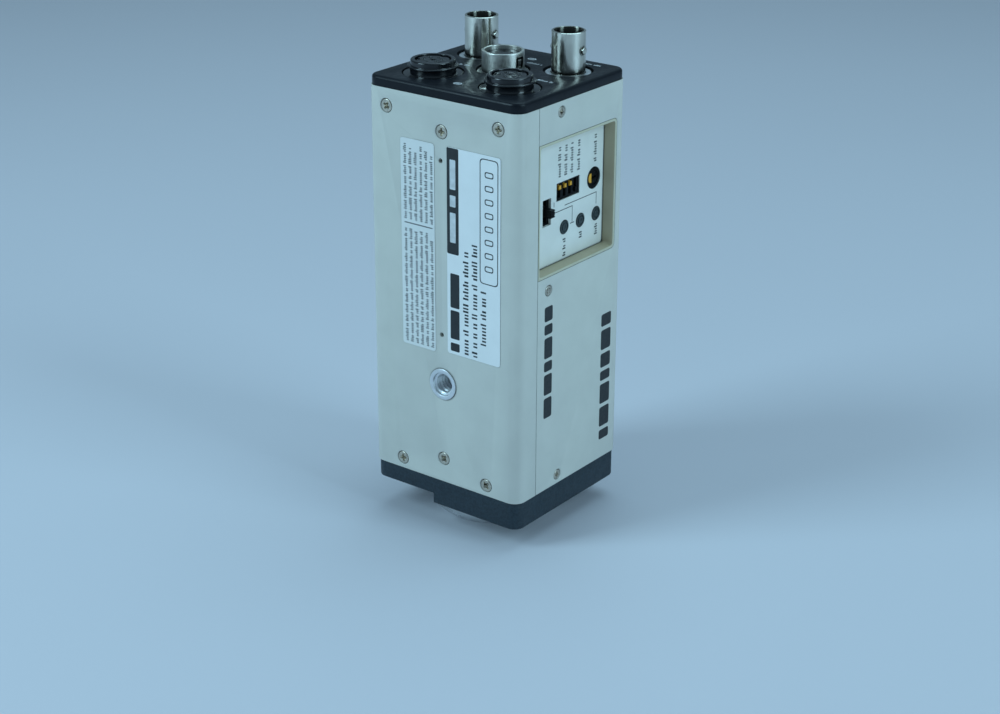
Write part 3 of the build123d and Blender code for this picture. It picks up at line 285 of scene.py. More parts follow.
class Surface:
    """A Principled material under construction, with the few node patterns that the finishes share."""

    def __init__(self, name, colour, roughness, metallic=0.0):
        self.material = bpy.data.materials.new(name)
        self.material.use_nodes = True
        self.tree = self.material.node_tree
        self.shader = self.tree.nodes["Principled BSDF"]
        self.shader.inputs["Base Color"].default_value = (*colour, 1)
        self.shader.inputs["Roughness"].default_value = roughness
        self.shader.inputs["Metallic"].default_value = metallic
        self.colour = colour
        self.bumps = None
        place = self.tree.nodes.new("ShaderNodeTexCoord")
        self.place = place.outputs["Object"]

    def link(self, source, target):
        """Joins one node's output to another's input."""
        self.tree.links.new(source, target)

    def stretched(self, stretch):
        """The place on the object, multiplied along each axis."""
        mapping = self.tree.nodes.new("ShaderNodeMapping")
        mapping.inputs["Scale"].default_value = stretch
        self.link(self.place, mapping.inputs["Vector"])
        return mapping.outputs["Vector"]

    def noise(self, size, detail=2.0, stretch=None):
        """Cloudy noise, mostly from 0.3 to 0.7, whose features are about size millimetres across."""
        node = self.tree.nodes.new("ShaderNodeTexNoise")
        node.inputs["Scale"].default_value = 1 / (size * MM)
        node.inputs["Detail"].default_value = detail
        self.link(self.stretched(stretch) if stretch else self.place, node.inputs["Vector"])
        return node.outputs["Fac"]

    def cells(self, size):
        """Distance to the nearest of points about size millimetres apart."""
        node = self.tree.nodes.new("ShaderNodeTexVoronoi")
        node.inputs["Scale"].default_value = 1 / (size * MM)
        self.link(self.place, node.inputs["Vector"])
        return node.outputs["Distance"]

    def span(self, source, from_low, from_high, to_low, to_high):
        """Maps one range of values to another and clamps it."""
        node = self.tree.nodes.new("ShaderNodeMapRange")
        self.link(source, node.inputs["Value"])
        node.inputs["From Min"].default_value = from_low
        node.inputs["From Max"].default_value = from_high
        node.inputs["To Min"].default_value = to_low
        node.inputs["To Max"].default_value = to_high
        return node.outputs["Result"]

    def times(self, first, second):
        """The product of two values."""
        node = self.tree.nodes.new("ShaderNodeMath")
        node.operation = "MULTIPLY"
        self.link(first, node.inputs[0])
        self.link(second, node.inputs[1])
        return node.outputs[0]

    def edges(self, radius):
        """About 1 on edges, 0 elsewhere, with a width of about radius millimetres.

        A bevel of that radius would turn the surface there, and the cosine of the turn tells how much.
        """
        bevel = self.tree.nodes.new("ShaderNodeBevel")
        bevel.samples = 6
        bevel.inputs["Radius"].default_value = radius * MM
        surface = self.tree.nodes.new("ShaderNodeNewGeometry")
        dot = self.tree.nodes.new("ShaderNodeVectorMath")
        dot.operation = "DOT_PRODUCT"
        self.link(bevel.outputs["Normal"], dot.inputs[0])
        self.link(surface.outputs["True Normal"], dot.inputs[1])
        return self.span(dot.outputs["Value"], 0.99, 0.86, 0, 1)

    def painted_shade(self, reach, starts=0.75, full=0.25, own=False):
        """How hidden a place is, as the share of painted shade a finish darkens its colour by: 0 where more
        than a share starts of its sky is open, 1 below a share full.

        Walls within reach millimetres count, and with own set only those of the same piece.
        """
        shade = self.tree.nodes.new("ShaderNodeAmbientOcclusion")
        shade.samples = 8
        shade.only_local = own
        shade.inputs["Distance"].default_value = reach * MM
        return self.span(shade.outputs["AO"], starts, full, 0, 1)

    def shine(self, level):
        """How strongly a plain surface mirrors, 0.5 being usual."""
        self.shader.inputs["Specular IOR Level"].default_value = level
        return self

    def tint(self, share, colour):
        """Mixes another colour in where share is 1."""
        node = self.tree.nodes.new("ShaderNodeMix")
        node.data_type = "RGBA"
        base = self.shader.inputs["Base Color"]
        if base.is_linked:
            self.link(base.links[0].from_socket, node.inputs[MIX_FIRST])
        else:
            node.inputs[MIX_FIRST].default_value = base.default_value
        node.inputs[MIX_SECOND].default_value = (*colour, 1)
        self.link(share, node.inputs["Factor"])
        self.link(node.outputs[MIX_RESULT], base)
        return self

    def mottle(self, size, amount, detail=3.0, stretch=None):
        """Slow light and dark variation of the colour."""
        darker = [channel * (1 - amount) for channel in self.colour]
        lighter = [min(1.0, channel * (1 + amount)) for channel in self.colour]
        cloud = self.noise(size, detail, stretch)
        self.tint(self.span(cloud, 0.35, 0.5, 1, 0), darker)
        return self.tint(self.span(cloud, 0.5, 0.68, 0, 1), lighter)

    def gloss(self, size, low_value, high_value, stretch=None):
        """Varies the roughness between two values."""
        cloud = self.noise(size, 4.0, stretch)
        self.link(self.span(cloud, 0.3, 0.7, low_value, high_value), self.shader.inputs["Roughness"])
        return self

    def relief(self, pattern, depth):
        """Raises the surface by a pattern, depth in millimetres; reliefs add up."""
        bump = self.tree.nodes.new("ShaderNodeBump")
        bump.inputs["Distance"].default_value = depth * MM
        bump.inputs["Strength"].default_value = 1.0
        self.link(pattern, bump.inputs["Height"])
        if self.bumps:
            self.link(self.bumps, bump.inputs["Normal"])
        self.bumps = bump.outputs["Normal"]
        self.link(self.bumps, self.shader.inputs["Normal"])
        return self

    def edge_wear_and_highlight(self, radius, colour, share=0.6, patch=2.0):
        """Edges rubbed towards another colour, in patches: wear, which on the black moulding also serves as a
        painted edge highlight.
        """
        patches = self.span(self.noise(patch, 5.0), 0.42, 0.62, 0, share)
        return self.tint(self.times(self.edges(radius), patches), colour)


def case_paint(name):
    """Satin light beige-grey paint: fine pebble, slightly rubbed edges, and painted shade as dark lines
    around what sits in it.
    """
    paint = Surface(name, (0.605, 0.60, 0.55), 0.42)
    paint.mottle(9.0, 0.025).gloss(4.0, 0.36, 0.48)
    paint.relief(paint.noise(0.35, 3.0), 0.010).relief(paint.cells(0.22), 0.004)
    paint.edge_wear_and_highlight(0.22, (0.72, 0.71, 0.69), 0.45, 1.6)
    # painted shade: near-black where labels, screws and the tripod bush meet the paint
    return paint.tint(paint.painted_shade(0.6, 0.93, 0.50), (0.07, 0.07, 0.065))


def casting_paint(name):
    """Smooth black paint on the front casting, with a faint orange peel and greyer, worn edges."""
    paint = Surface(name, (0.016, 0.029, 0.041), 0.45)
    paint.mottle(0.7, 0.25).gloss(3.0, 0.38, 0.54).shine(0.35)
    paint.relief(paint.noise(0.6, 3.0), 0.016)
    return paint.edge_wear_and_highlight(0.20, (0.16, 0.17, 0.18), 0.55, 1.4)


def grained_black(name):
    """Black moulding with a fine spark-eroded grain, and lighter edges that are partly rubbed wear and partly
    a painted highlight.
    """
    skin = Surface(name, (0.005, 0.007, 0.011), 0.38)
    skin.mottle(5.0, 0.15).gloss(1.5, 0.30, 0.42).shine(0.2)
    skin.relief(skin.noise(0.25, 4.0), 0.006)
    # lighter edges: partly rubbed wear, partly a painted highlight along the bevels
    return skin.edge_wear_and_highlight(0.20, (0.05, 0.06, 0.07), 0.45, 1.2)


def recess_frame(name):
    """Cream moulding of the control recess, with painted shade: darker, brownish walls and dark inner
    corners.

    Its walls are the faces that look along the flank, so their normal has little X.
    """
    skin = Surface(name, (0.56, 0.53, 0.40), 0.5)
    skin.mottle(4.0, 0.04).gloss(2.0, 0.44, 0.56)
    skin.relief(skin.noise(0.3, 3.0), 0.006)
    surface = skin.tree.nodes.new("ShaderNodeNewGeometry")
    split = skin.tree.nodes.new("ShaderNodeSeparateXYZ")
    skin.link(surface.outputs["True Normal"], split.inputs[0])
    # painted shade on the walls, darkened by which way they face
    skin.tint(skin.span(split.outputs["X"], 0.15, 0.45, 1, 0), (0.47, 0.405, 0.275))
    # painted shade in the inner corners
    return skin.tint(skin.painted_shade(0.8, 0.80, 0.42), (0.05, 0.05, 0.035))


def recess_floor(name):
    """Smooth satin plate of the recess floor, with painted shade where it meets the walls."""
    paint = Surface(name, (0.78, 0.775, 0.725), 0.38)
    paint.mottle(5.0, 0.02).gloss(3.0, 0.32, 0.44)
    # painted shade along the walls
    paint.tint(paint.painted_shade(0.8, 0.80, 0.50), (0.10, 0.10, 0.09))
    return paint.relief(paint.noise(0.5, 2.0), 0.004)


def turned_metal(name):
    """Bright turned aluminium, its gloss in fine bands around the lens axis."""
    metal = Surface(name, (0.72, 0.73, 0.74), 0.26, 1.0)
    metal.mottle(3.0, 0.05).gloss(1.2, 0.22, 0.34, (0.1, 0.1, 1.0))
    return metal.relief(metal.noise(1.2, 2.0), 0.006)


def plain_metal(name, colour, roughness):
    """Metal with a faint smear and a slight unevenness."""
    metal = Surface(name, colour, roughness, 1.0)
    metal.mottle(2.5, 0.08).gloss(0.8, roughness * 0.75, roughness * 1.3)
    return metal.relief(metal.noise(0.9, 3.0), 0.004)


def insert_steel(name):
    """Bright machined steel, with painted shade down in the thread."""
    metal = plain_metal(name, (0.76, 0.78, 0.80), 0.36)
    # painted shade in the bore
    return metal.tint(metal.painted_shade(2.5), (0.16, 0.18, 0.20))


def nickel(name):
    """Nickel plating, polished but handled: light streaks, and painted shade down in a bore."""
    metal = Surface(name, (0.70, 0.69, 0.61), 0.17, 1.0)
    metal.mottle(2.0, 0.14, 4.0, (1.0, 1.0, 0.35)).gloss(0.9, 0.12, 0.24, (1.0, 1.0, 0.3))
    # painted shade in the bore
    metal.tint(metal.painted_shade(14.0, 0.92, 0.70, own=True), (0.035, 0.035, 0.03))
    return metal.relief(metal.noise(0.8, 3.0), 0.004)


def dull_nickel(name):
    """Matt nickel, with painted shade down in a bore."""
    metal = Surface(name, (0.62, 0.615, 0.57), 0.38, 1.0)
    metal.mottle(1.5, 0.08).gloss(0.8, 0.30, 0.46)
    # painted shade in the bore
    metal.tint(metal.painted_shade(8.0, 0.92, 0.65, own=True), (0.04, 0.045, 0.045))
    return metal.relief(metal.noise(0.4, 4.0), 0.006)


def screw_metal(name):
    """Slightly yellowed zinc plating."""
    metal = Surface(name, (0.56, 0.52, 0.44), 0.34, 1.0)
    metal.mottle(0.8, 0.16, 4.0).gloss(0.6, 0.26, 0.44)
    return metal.relief(metal.noise(0.5, 3.0), 0.004)


def moulded(name, colour, roughness, grain=0.3, depth=0.004, amount=0.06):
    """Plain moulded plastic with a faint grain."""
    skin = Surface(name, colour, roughness)
    skin.mottle(2.0, amount).gloss(1.0, roughness * 0.85, min(1.0, roughness * 1.2))
    return skin.relief(skin.noise(grain, 3.0), depth)


def button_grey(name):
    """Dark grey-green buttons with lighter, rubbed rings and painted shade in the grooves."""
    skin = moulded(name, (0.028, 0.042, 0.046), 0.42).edge_wear_and_highlight(0.12, (0.16, 0.19, 0.20), 0.8, 0.5)
    # painted shade in the grooves
    return skin.tint(skin.painted_shade(0.35), (0.006, 0.008, 0.009))


def circuit_board(name):
    """Green solder mask over faint copper runs, with pale legend specks."""
    board = Surface(name, (0.012, 0.11, 0.05), 0.35)
    runs = board.tree.nodes.new("ShaderNodeTexWave")
    runs.wave_type = "BANDS"
    runs.bands_direction = "DIAGONAL"
    runs.inputs["Scale"].default_value = 1 / (3.0 * MM)
    runs.inputs["Distortion"].default_value = 3.0
    board.link(board.place, runs.inputs["Vector"])
    board.tint(board.span(runs.outputs["Fac"], 0.62, 0.7, 0, 1), (0.03, 0.19, 0.08))
    board.tint(board.span(board.cells(2.4), 0.07, 0.04, 0, 1), (0.55, 0.52, 0.42))
    return board.relief(board.noise(0.4, 2.0), 0.006)


def label_film(name, colour):
    """Printed film with a soft sheen and a few handling marks."""
    film = Surface(name, colour, 0.36)
    film.mottle(7.0, 0.02).gloss(5.0, 0.28, 0.46)
    return film.relief(film.noise(1.4, 2.0), 0.006)


def ink(name, colour):
    """Printing ink, a little uneven at its edges."""
    return moulded(name, colour, 0.5, 0.12, 0.002, 0.12)


def clear_glass(name, colour, roughness):
    """Polished glass with a faint haze."""
    glass = Surface(name, colour, roughness)
    glass.shader.inputs["Transmission Weight"].default_value = 1.0
    glass.shader.inputs["IOR"].default_value = 1.5
    return glass.gloss(3.0, roughness, roughness + 0.03)


# How each material slot is finished; a finish takes the name its material gets
FINISHES = {
    "black_paint": casting_paint,
    "black_texture": grained_black,
    "beige_paint": case_paint,
    "bezel_plastic": recess_frame,
    "recess_plate": recess_floor,
    "ring_metal": turned_metal,
    "raw_aluminium": lambda name: plain_metal(name, (0.60, 0.60, 0.59), 0.40),
    "nickel": nickel,
    "dull_nickel": dull_nickel,
    "insert_steel": insert_steel,
    "case_screw_steel": screw_metal,
    "screw_steel": lambda name: plain_metal(name, (0.58, 0.58, 0.56), 0.32),
    "socket_black": lambda name: moulded(name, (0.004, 0.005, 0.007), 0.14, 0.5, 0.003).shine(0.7),
    "insulator_white": lambda name: moulded(name, (0.72, 0.71, 0.66), 0.4),
    "gold_contact": lambda name: plain_metal(name, (0.83, 0.62, 0.26), 0.22),
    "switch_black": lambda name: moulded(name, (0.003, 0.003, 0.004), 0.45).shine(0.15),
    "slider_yellow": lambda name: moulded(name, (0.80, 0.38, 0.03), 0.34),
    "button_grey": button_grey,
    "circuit_board": circuit_board,
    "package_black": lambda name: moulded(name, (0.02, 0.02, 0.021), 0.5, 0.15, 0.006),
    "converter_tin": lambda name: plain_metal(name, (0.62, 0.62, 0.60), 0.36),
    "ribbon_grey": lambda name: moulded(name, (0.30, 0.31, 0.33), 0.5),
    "gasket_rubber": lambda name: moulded(name, (0.012, 0.012, 0.012), 0.75, 0.2, 0.01),
    "filter_glass": lambda name: clear_glass(name, (0.55, 0.88, 0.82), 0.02),
    "cover_glass": lambda name: clear_glass(name, (0.93, 0.97, 0.97), 0.02),
    "ceramic_grey": lambda name: moulded(name, (0.045, 0.040, 0.038), 0.6, 0.12, 0.006),
    "sensor_silicon": lambda name: plain_metal(name, (0.10, 0.09, 0.16), 0.12),
    "label_white": lambda name: label_film(name, (0.84, 0.85, 0.85)),
    "label_pale": lambda name: label_film(name, (0.76, 0.77, 0.76)),
    "print_dark": lambda name: ink(name, (0.014, 0.017, 0.020)),
    "print_light": lambda name: ink(name, (0.62, 0.64, 0.66)),
}
made_finishes = {}


def finish(slot):
    """The material of a slot, made once."""
    if slot not in made_finishes:
        made_finishes[slot] = FINISHES[slot](slot).material
    return made_finishes[slot]


def finish_cad_nodes():
    """Gives every CAD node its slot's procedural material."""
    for entry in frame["record"]["subparts"]:
        mesh = nodes[entry["node"]].data
        material = finish(entry["material_slot"])
        if mesh.materials:
            mesh.materials[0] = material
        else:
            mesh.materials.append(material)


# ---------------------------------------------------------------- fasteners
HEAD_GAP = 0.16  # between a screw's head and its countersink
HEAD_SINK = 0.06  # of a screw's face below the panel
BOTTOM_SHANK = 1.25
FLANK_SHANK = 0.95


def cross_head(face_radius, shank_radius, length, place):
    """A countersunk cross-head screw, face at local height 0, with its driver recess."""
    cone = (face_radius - shank_radius) * 1.15
    rim, rim_drop, point = 0.12, 0.14, 0.4
    profile = [(0, 0), (face_radius - rim, 0, 0.08), (face_radius, -rim_drop), (shank_radius, -cone)]
    profile += [(shank_radius, point - length), (shank_radius - point, -length), (0, -length)]
    body = lathe(bmesh.new(), rounded(profile, 3), place, 64)
    depth, reach, width = face_radius * 0.70, face_radius * 0.62, face_radius * 0.19
    narrowing = reach * 0.75
    wings = []
    for wide, deep in ((2 * reach, 2 * width), (2 * width, 2 * reach)):
        floor = centred_box(max(wide - narrowing, width), max(deep - narrowing, width))
        wings.append(block(bmesh.new(), floor, centred_box(wide, deep), -depth, 0.05, place))
    bowl = [(0, 0.02), (face_radius * 0.40, 0.02), (face_radius * 0.28, -depth * 0.6), (0, -depth * 1.05)]
    wings.append(lathe(bmesh.new(), bowl, place, 24))
    return soften(carve(body, *wings), 0.035, 35)


def left_at(number):
    """The angle at which a screw was left, another one for each number."""
    return Matrix.Rotation(radians(17 + 41 * number), 4, "Z")


def case_screws():
    """The cross-head screws of the tripod side and of both flanks."""
    for number, (lo, hi) in enumerate(islands("bottom_screws"), start=1):
        centre, spread = (lo + hi) / 2, hi - lo
        place = on_tripod_side(centre.x, centre.z, lo.y + HEAD_SINK) @ left_at(number)
        shape = cross_head(spread.x / 2 - HEAD_GAP, BOTTOM_SHANK, spread.y - HEAD_SINK, place)
        piece(f"bottom_screws_{number}", shape, "case_screw_steel", stands_for=("bottom_screws",))
    for number, (lo, hi) in enumerate(islands("flank_screws"), start=1):
        centre, spread = (lo + hi) / 2, hi - lo
        side = 1 if centre.x > 0 else -1
        face = hi.x if side > 0 else lo.x
        place = on_flank(side, centre.y, centre.z, face - side * HEAD_SINK) @ left_at(number)
        shape = cross_head(spread.y / 2 - HEAD_GAP, FLANK_SHANK, spread.x - HEAD_SINK, place)
        piece(f"flank_screws_{number}", shape, "case_screw_steel", stands_for=("flank_screws",))


# ---------------------------------------------------------------- threads
TRIPOD_PITCH = 1.27  # 20 to the inch
LENS_PITCH = 0.794  # 32 to the inch
SAME_RADIUS = 1e-4


def thread(radius, bottom, top, pitch, depth):
    """A radius function that cuts a V thread outwards from a bore's wall between two heights."""
    run_out = pitch * 0.7
    steepness = 2.2

    def shape(r, z, angle):
        if abs(r - radius) > SAME_RADIUS or not bottom < z < top:
            return r
        phase = (z / pitch - angle / tau) % 1
        fade = min(1, (z - bottom) / run_out, (top - z) / run_out)
        return r + depth * fade * min(1, steepness * min(phase, 1 - phase))

    return shape


def wall(radius, start, end, step):
    """Points straight along a wall, close enough together to carry a thread."""
    count = max(2, int(abs(end - start) / step))
    return [(radius, start + (end - start) * i / count) for i in range(1, count)]


def tripod_insert():
    """The tripod bush: a lip with a rounded edge, a bevelled mouth and a real V thread."""
    lo, hi = low("tripod_insert"), high("tripod_insert")
    centre = middle("tripod_insert")
    place = on_tripod_side(centre.x, centre.z, lo.y)
    lip, body, bore, mouth = 4.7, 4.0, 2.65, 3.5
    lip_height, bevel, wall_top, depth, length = 0.35, 0.8, 1.1, 7.5, hi.y - lo.y
    drill_tip = 0.9
    profile = [(0, -length), (body, -length, 0.3), (body, -lip_height), (lip, -lip_height), (lip, 0, 0.22)]
    profile += [(mouth, 0, 0.15), (mouth - 0.12, 0.05 - bevel, 0.1), (bore + 0.3, -bevel, 0.1)]
    profile += [(bore, -wall_top)]
    profile = rounded(profile) + wall(bore, -wall_top, -depth, 0.1)
    profile += [(bore, -depth), (0, -depth - drill_tip)]
    shape = thread(bore, 0.3 - depth, 0.1 - wall_top, TRIPOD_PITCH, 0.5)
    bush = lathe(bmesh.new(), profile, place, 96, shape)
    piece("tripod_bush", bush, "insert_steel", stands_for=("tripod_insert",))


def lens_ring():
    """The lens mount ring: bevelled lip, a groove around it and the lens thread inside."""
    top = high("lens_mount_ring").z
    outer, groove, spigot, seat, bore, throat = 18.2, 17.85, 15.6, 13.2, 12.35, 10.5
    lip, face, bore_top, throat_top = 0.35, 6.3, 5.0, 7.0
    outline = [(bore + lip, 0, 0.05), (outer - 0.45, 0, 0.12), (outer, 0.45, 0.12)]
    outline += [(outer, 2.6, 0.05), (groove, 2.8), (groove, 3.2), (outer, 3.4, 0.05)]
    outline += [(outer, face), (spigot, face), (spigot, top), (seat, top), (seat, throat_top)]
    outline += [(throat, throat_top, 0.1), (throat, bore_top, 0.1), (bore, bore_top)]
    profile = rounded(outline) + wall(bore, bore_top, lip, 0.08)
    shape = thread(bore, 0.3, bore_top - 0.3, LENS_PITCH, 0.34)
    ring = lathe(bmesh.new(), profile, on_top(), 160, shape)
    piece("lens_ring", ring, "ring_metal", stands_for=("lens_mount_ring",))


# ---------------------------------------------------------------- rear sockets
FLANGE_SINK = 0.5  # of a metal socket's flange below the panel
MOULDED_FLANGE_SINK = 0.25
LUG_DROP = 5.2  # of a bayonet lug below the shell's rim


def socket_heights(node):
    """The heights of a socket's base, the plate it sits on, the panel's face and its own rim."""
    return low(node).z, high("rear_plate").z, high("rear_panel").z, high(node).z


def bayonet_lug(bm, shell, place):
    """A domed lug with a small collar, standing out of a shell along local Z."""
    radius, reach = 1.0, 5.6
    dome = [(0, shell - 0.25), (radius, shell - 0.25), (radius, reach, 0.25), (0, reach)]
    lathe(bm, rounded(dome), place, 32)
    collar = [(radius, shell - 0.1), (radius + 0.32, shell - 0.1)]
    collar += [(radius + 0.25, shell + 0.12, 0.05), (radius, shell + 0.12)]
    lathe(bm, rounded(collar, 2), place, 32)


def bayonet_socket(node):
    """A bayonet video socket: sunk flange with a washer, plain shell with a fine lip, and two lugs."""
    centre = middle(node)
    place = on_top(centre.x, centre.y)
    base, plate, panel, top = socket_heights(node)
    disc, floor = panel - FLANGE_SINK, panel + 1.4
    neck, flange, shell, bore, inner = 4.6, 6.6, 4.825, 4.1, 2.6
    outline = [(neck, base), (neck, plate), (flange, plate), (flange, disc, 0.15)]
    outline += [(shell + 0.12, disc, 0.05), (shell, disc + 0.12, 0.05), (shell, top - 1.6)]
    outline += [(shell, top - 0.14), (shell - 0.2, top, 0.1), (bore + 0.12, top, 0.05)]
    outline += [(bore, top - 0.2), (bore, floor), (inner, floor), (inner, base)]
    shape = lathe(bmesh.new(), rounded(outline, 3), place, 96)
    for side in (-1, 1):
        bayonet_lug(shape, shell, facing((centre.x, centre.y, top - LUG_DROP), (0, side, 0), (side, 0, 0)))
    piece(f"{node}_body", shape, "nickel", stands_for=(node,))
    hole, rim, under, face = shell + 0.2, flange - 0.2, disc - 0.2, disc + 0.03
    washer = rounded([(hole, under), (hole, face), (rim, face, 0.02), (rim, under)])
    piece(f"{node}_washer", lathe(bmesh.new(), washer, place, 96), "insert_steel")


def round_socket(node):
    """A small round multi-way socket: stepped collar, ring groove, keyways and contact holes."""
    centre = middle(node)
    place = on_top(centre.x, centre.y)
    base, plate, panel, top = socket_heights(node)
    disc, step, face, floor, above = panel - MOULDED_FLANGE_SINK, top - 1.55, top - 0.3, top - 2.4, top + 1
    flange, neck, collar, skirt, ring, well, insert = 8.4, 6.2, 6.5, 7.15, 6.35, 5.1, 4.6
    outline = [(0, base), (neck, base), (neck, plate), (flange, plate), (flange, disc, 0.12), (collar, disc)]
    outline += [(collar, step - 0.8, 0.06), (skirt, step - 0.55, 0.12), (skirt, step - 0.12, 0.12)]
    outline += [(skirt - 0.2, step, 0.06), (ring, step, 0.05), (ring, top - 0.25, 0.15)]
    outline += [(ring - 0.25, top, 0.15), (well, top, 0.12), (well, floor), (insert, floor)]
    outline += [(insert, face, 0.15), (0, face)]
    body = lathe(bmesh.new(), rounded(outline), place, 96)
    tools = []
    keyway = box_outline(-0.65, -0.75, 0.65, 0.75, 0.2)
    for angle in (90, 210, 330):
        notch = place @ Matrix.Rotation(radians(angle), 4, "Z") @ Matrix.Translation((4.3, 0, 0))
        tools.append(prism(bmesh.new(), keyway, top - 2.2, above, notch))
    contact, funnel, circle = 0.55, 0.8, 2.7
    hole = [(0, top - 5), (contact, top - 5), (contact, top - 0.5), (funnel, top), (0, top)]
    for k in range(6):
        angle = radians(30 + 60 * k)
        spot = place @ Matrix.Translation((circle * cos(angle), circle * sin(angle), 0))
        tools.append(lathe(bmesh.new(), hole, spot, 24))
    centre_slot = box_outline(-0.9, -0.5, 0.9, 0.5, 0.2)
    tools.append(prism(bmesh.new(), centre_slot, top - 4, above, place))
    piece(f"{node}_body", soften(carve(body, *tools), 0.05, 40), "socket_black", stands_for=(node,))


def locking_socket():
    """The six-way power socket's ring, with its latch window and the latch in it."""
    node = "multipin_shell"
    across = middle(node).y
    base, plate, panel, top = socket_heights(node)
    disc, floor, latch_height = panel - FLANGE_SINK, top - 1.3, panel + 2.5
    neck, flange, ring, mouth, bore = 5.5, 7.3, 6.0, 5.2, 4.85
    outline = [(neck, base), (neck, plate), (flange, plate), (flange, disc, 0.15), (ring + 0.1, disc, 0.05)]
    outline += [(ring, disc + 0.1, 0.05), (ring, top, 0.25), (mouth, top, 0.12), (mouth, floor)]
    outline += [(bore, floor), (bore, base)]
    body = lathe(bmesh.new(), rounded(outline), on_top(0, across), 96)
    window = facing((3.0, across, latch_height), (0, 1, 0), (1, 0, 0))
    hole = prism(bmesh.new(), box_outline(-1.6, -1.65, 1.6, 1.65, 0.5), 0, 4.5, window)
    piece("power_socket_ring", soften(carve(body, hole), 0.06, 40), "dull_nickel", stands_for=(node,))
    seat, width = bore + 0.02, 1.6
    tab = [(-1.6, seat), (-1.6, 5.5, 0.15), (0.8, 5.85, 0.3), (1.2, 5.4, 0.25), (1.1, seat, 0.1)]
    side = facing((0, across + width / 2, latch_height), (0, 0, 1), (0, 1, 0))
    latch = prism(bmesh.new(), rounded(tab), -width, 0, side)
    piece("power_socket_latch", soften(latch, 0.1), "nickel")


# ---------------------------------------------------------------- controls
def push_button(node):
    """A push button with a rounded rim, a ring groove and a shallow dished centre."""
    lo, hi = low(node), high(node)
    centre = middle(node)
    place = facing((hi.x, centre.y, centre.z), (0, 1, 0), (1, 0, 0))
    cap, stem, length = (hi.y - lo.y) / 2, 1.15, hi.x - lo.x
    seat = 1.7 - length
    groove_out, groove_in, groove_depth, slope = cap - 0.40, cap - 0.85, 0.32, 0.05
    outline = [(0, -length), (stem, -length, 0.15), (stem, seat), (cap, seat, 0.15), (cap, 0, 0.3)]
    outline += [(groove_out, 0, 0.08), (groove_out - slope, -groove_depth, 0.05)]
    outline += [(groove_in + slope, -groove_depth, 0.05), (groove_in, 0, 0.08)]
    outline += [(0.60, 0, 0.08), (0.5, -0.22, 0.05), (0, -0.26)]
    piece(f"{node}_cap", lathe(bmesh.new(), rounded(outline), place, 64), "button_grey", node, (node,))


def bank_slider(node):
    """One slider of the switch bank: a block with a rounded, slightly waisted grip."""
    lo, hi = low(node), high(node)
    length, wide, half = hi.x - lo.x, hi.y - lo.y, (hi.z - lo.z) / 2
    side = facing((lo.x, hi.y, middle(node).z), (0, 0, 1), (0, 1, 0))
    shoulder, grip, waist = length - 1.05, length - 0.9, half - 0.1
    outline = [(-half, 0), (-half, shoulder, 0.1), (-waist, grip, 0.1), (-waist, length, 0.22)]
    outline += [(0, length - 0.16, 0.3), (waist, length, 0.22), (waist, grip, 0.1), (half, shoulder, 0.1)]
    outline += [(half, 0)]
    shape = prism(bmesh.new(), rounded(outline, 3), -wide, 0, side)
    piece(f"{node}_grip", soften(shape, 0.07, 50), slot_of(node), node, (node,))


def slide_knob():
    """The slide switch's knob: a broad foot in the slot and a ridged grip."""
    node = "slide_switch_knob"
    lo, hi = low(node), high(node)
    centre = middle(node)
    side = facing((lo.x, centre.y, centre.z), (0, 0, 1), (0, 1, 0))
    length, height, half_length, half_width = hi.x - lo.x, 2.1, 1.5, 1.15
    foot_outline = box_outline(-half_length, 0, half_length, height)
    foot = prism(bmesh.new(), foot_outline, -half_width, half_width, side)
    half_grip, half_grip_width, groove, root = 1.15, 0.95, 0.17, height - 0.3
    ridges = [(-half_grip, root), (-half_grip, length, 0.15)]
    for at in (-half_grip / 2, 0, half_grip / 2):
        ridges += [(at - groove, length, 0.05), (at, length - 0.3, 0.05), (at + groove, length, 0.05)]
    ridges += [(half_grip, length, 0.15), (half_grip, root)]
    grip = prism(bmesh.new(), rounded(ridges, 2), -half_grip_width, half_grip_width, side)
    piece("slide_knob_foot", soften(foot, 0.06), "switch_black", node, (node,))
    piece("slide_knob_grip", soften(grip, 0.07, 50), "switch_black", node, (node,))


def rotary_switch():
    """The rotary switch's rotor: a disc with a ring groove and a driver slot, and a yellow pointer."""
    node = "rotary_switch_rotor"
    lo, hi = low(node), high(node)
    centre = middle(node)
    place = facing((hi.x, centre.y, centre.z), (0, 1, 0), (1, 0, 0))
    radius, depth = (hi.y - lo.y) / 2, hi.x - lo.x
    groove_out, groove_in, groove_depth, slope = radius - 0.3, radius - 0.56, 0.1, 0.06
    disc = [(0, -depth), (radius, -depth), (radius, 0, 0.12), (groove_out, 0, 0.05)]
    disc += [(groove_out - slope, -groove_depth, 0.05), (groove_in + slope, -groove_depth, 0.05)]
    disc += [(groove_in, 0, 0.05), (0, 0)]
    driver_slot = prism(bmesh.new(), box_outline(-0.5, -0.35, 1.7, 0.35, 0.1), -0.7, 0.5, place)
    rotor = carve(lathe(bmesh.new(), rounded(disc, 3), place, 64), driver_slot)
    piece("rotor_disc", soften(rotor, 0.05, 40), "switch_black", node, (node,))
    tip, shoulder, back, half_tip, half_wide = -2.1, -1.5, -0.75, 0.6, 1.35
    arrow = [(tip, -half_tip, 0.2), (shoulder, -half_wide, 0.2), (back, -half_wide, 0.08)]
    arrow += [(back, half_wide, 0.08), (shoulder, half_wide, 0.2), (tip, half_tip, 0.2)]
    pointer = prism(bmesh.new(), rounded(arrow, 3), -0.3, 0.14, place)
    piece("rotor_pointer", soften(pointer, 0.06, 40), "slider_yellow", node)


# ---------------------------------------------------------------- print
INK_THICKNESS = 0.012
INK_SINK = 0.004  # of the ink's underside below the surface it lies on
ALONG_X, ALONG_Y = 0, 1


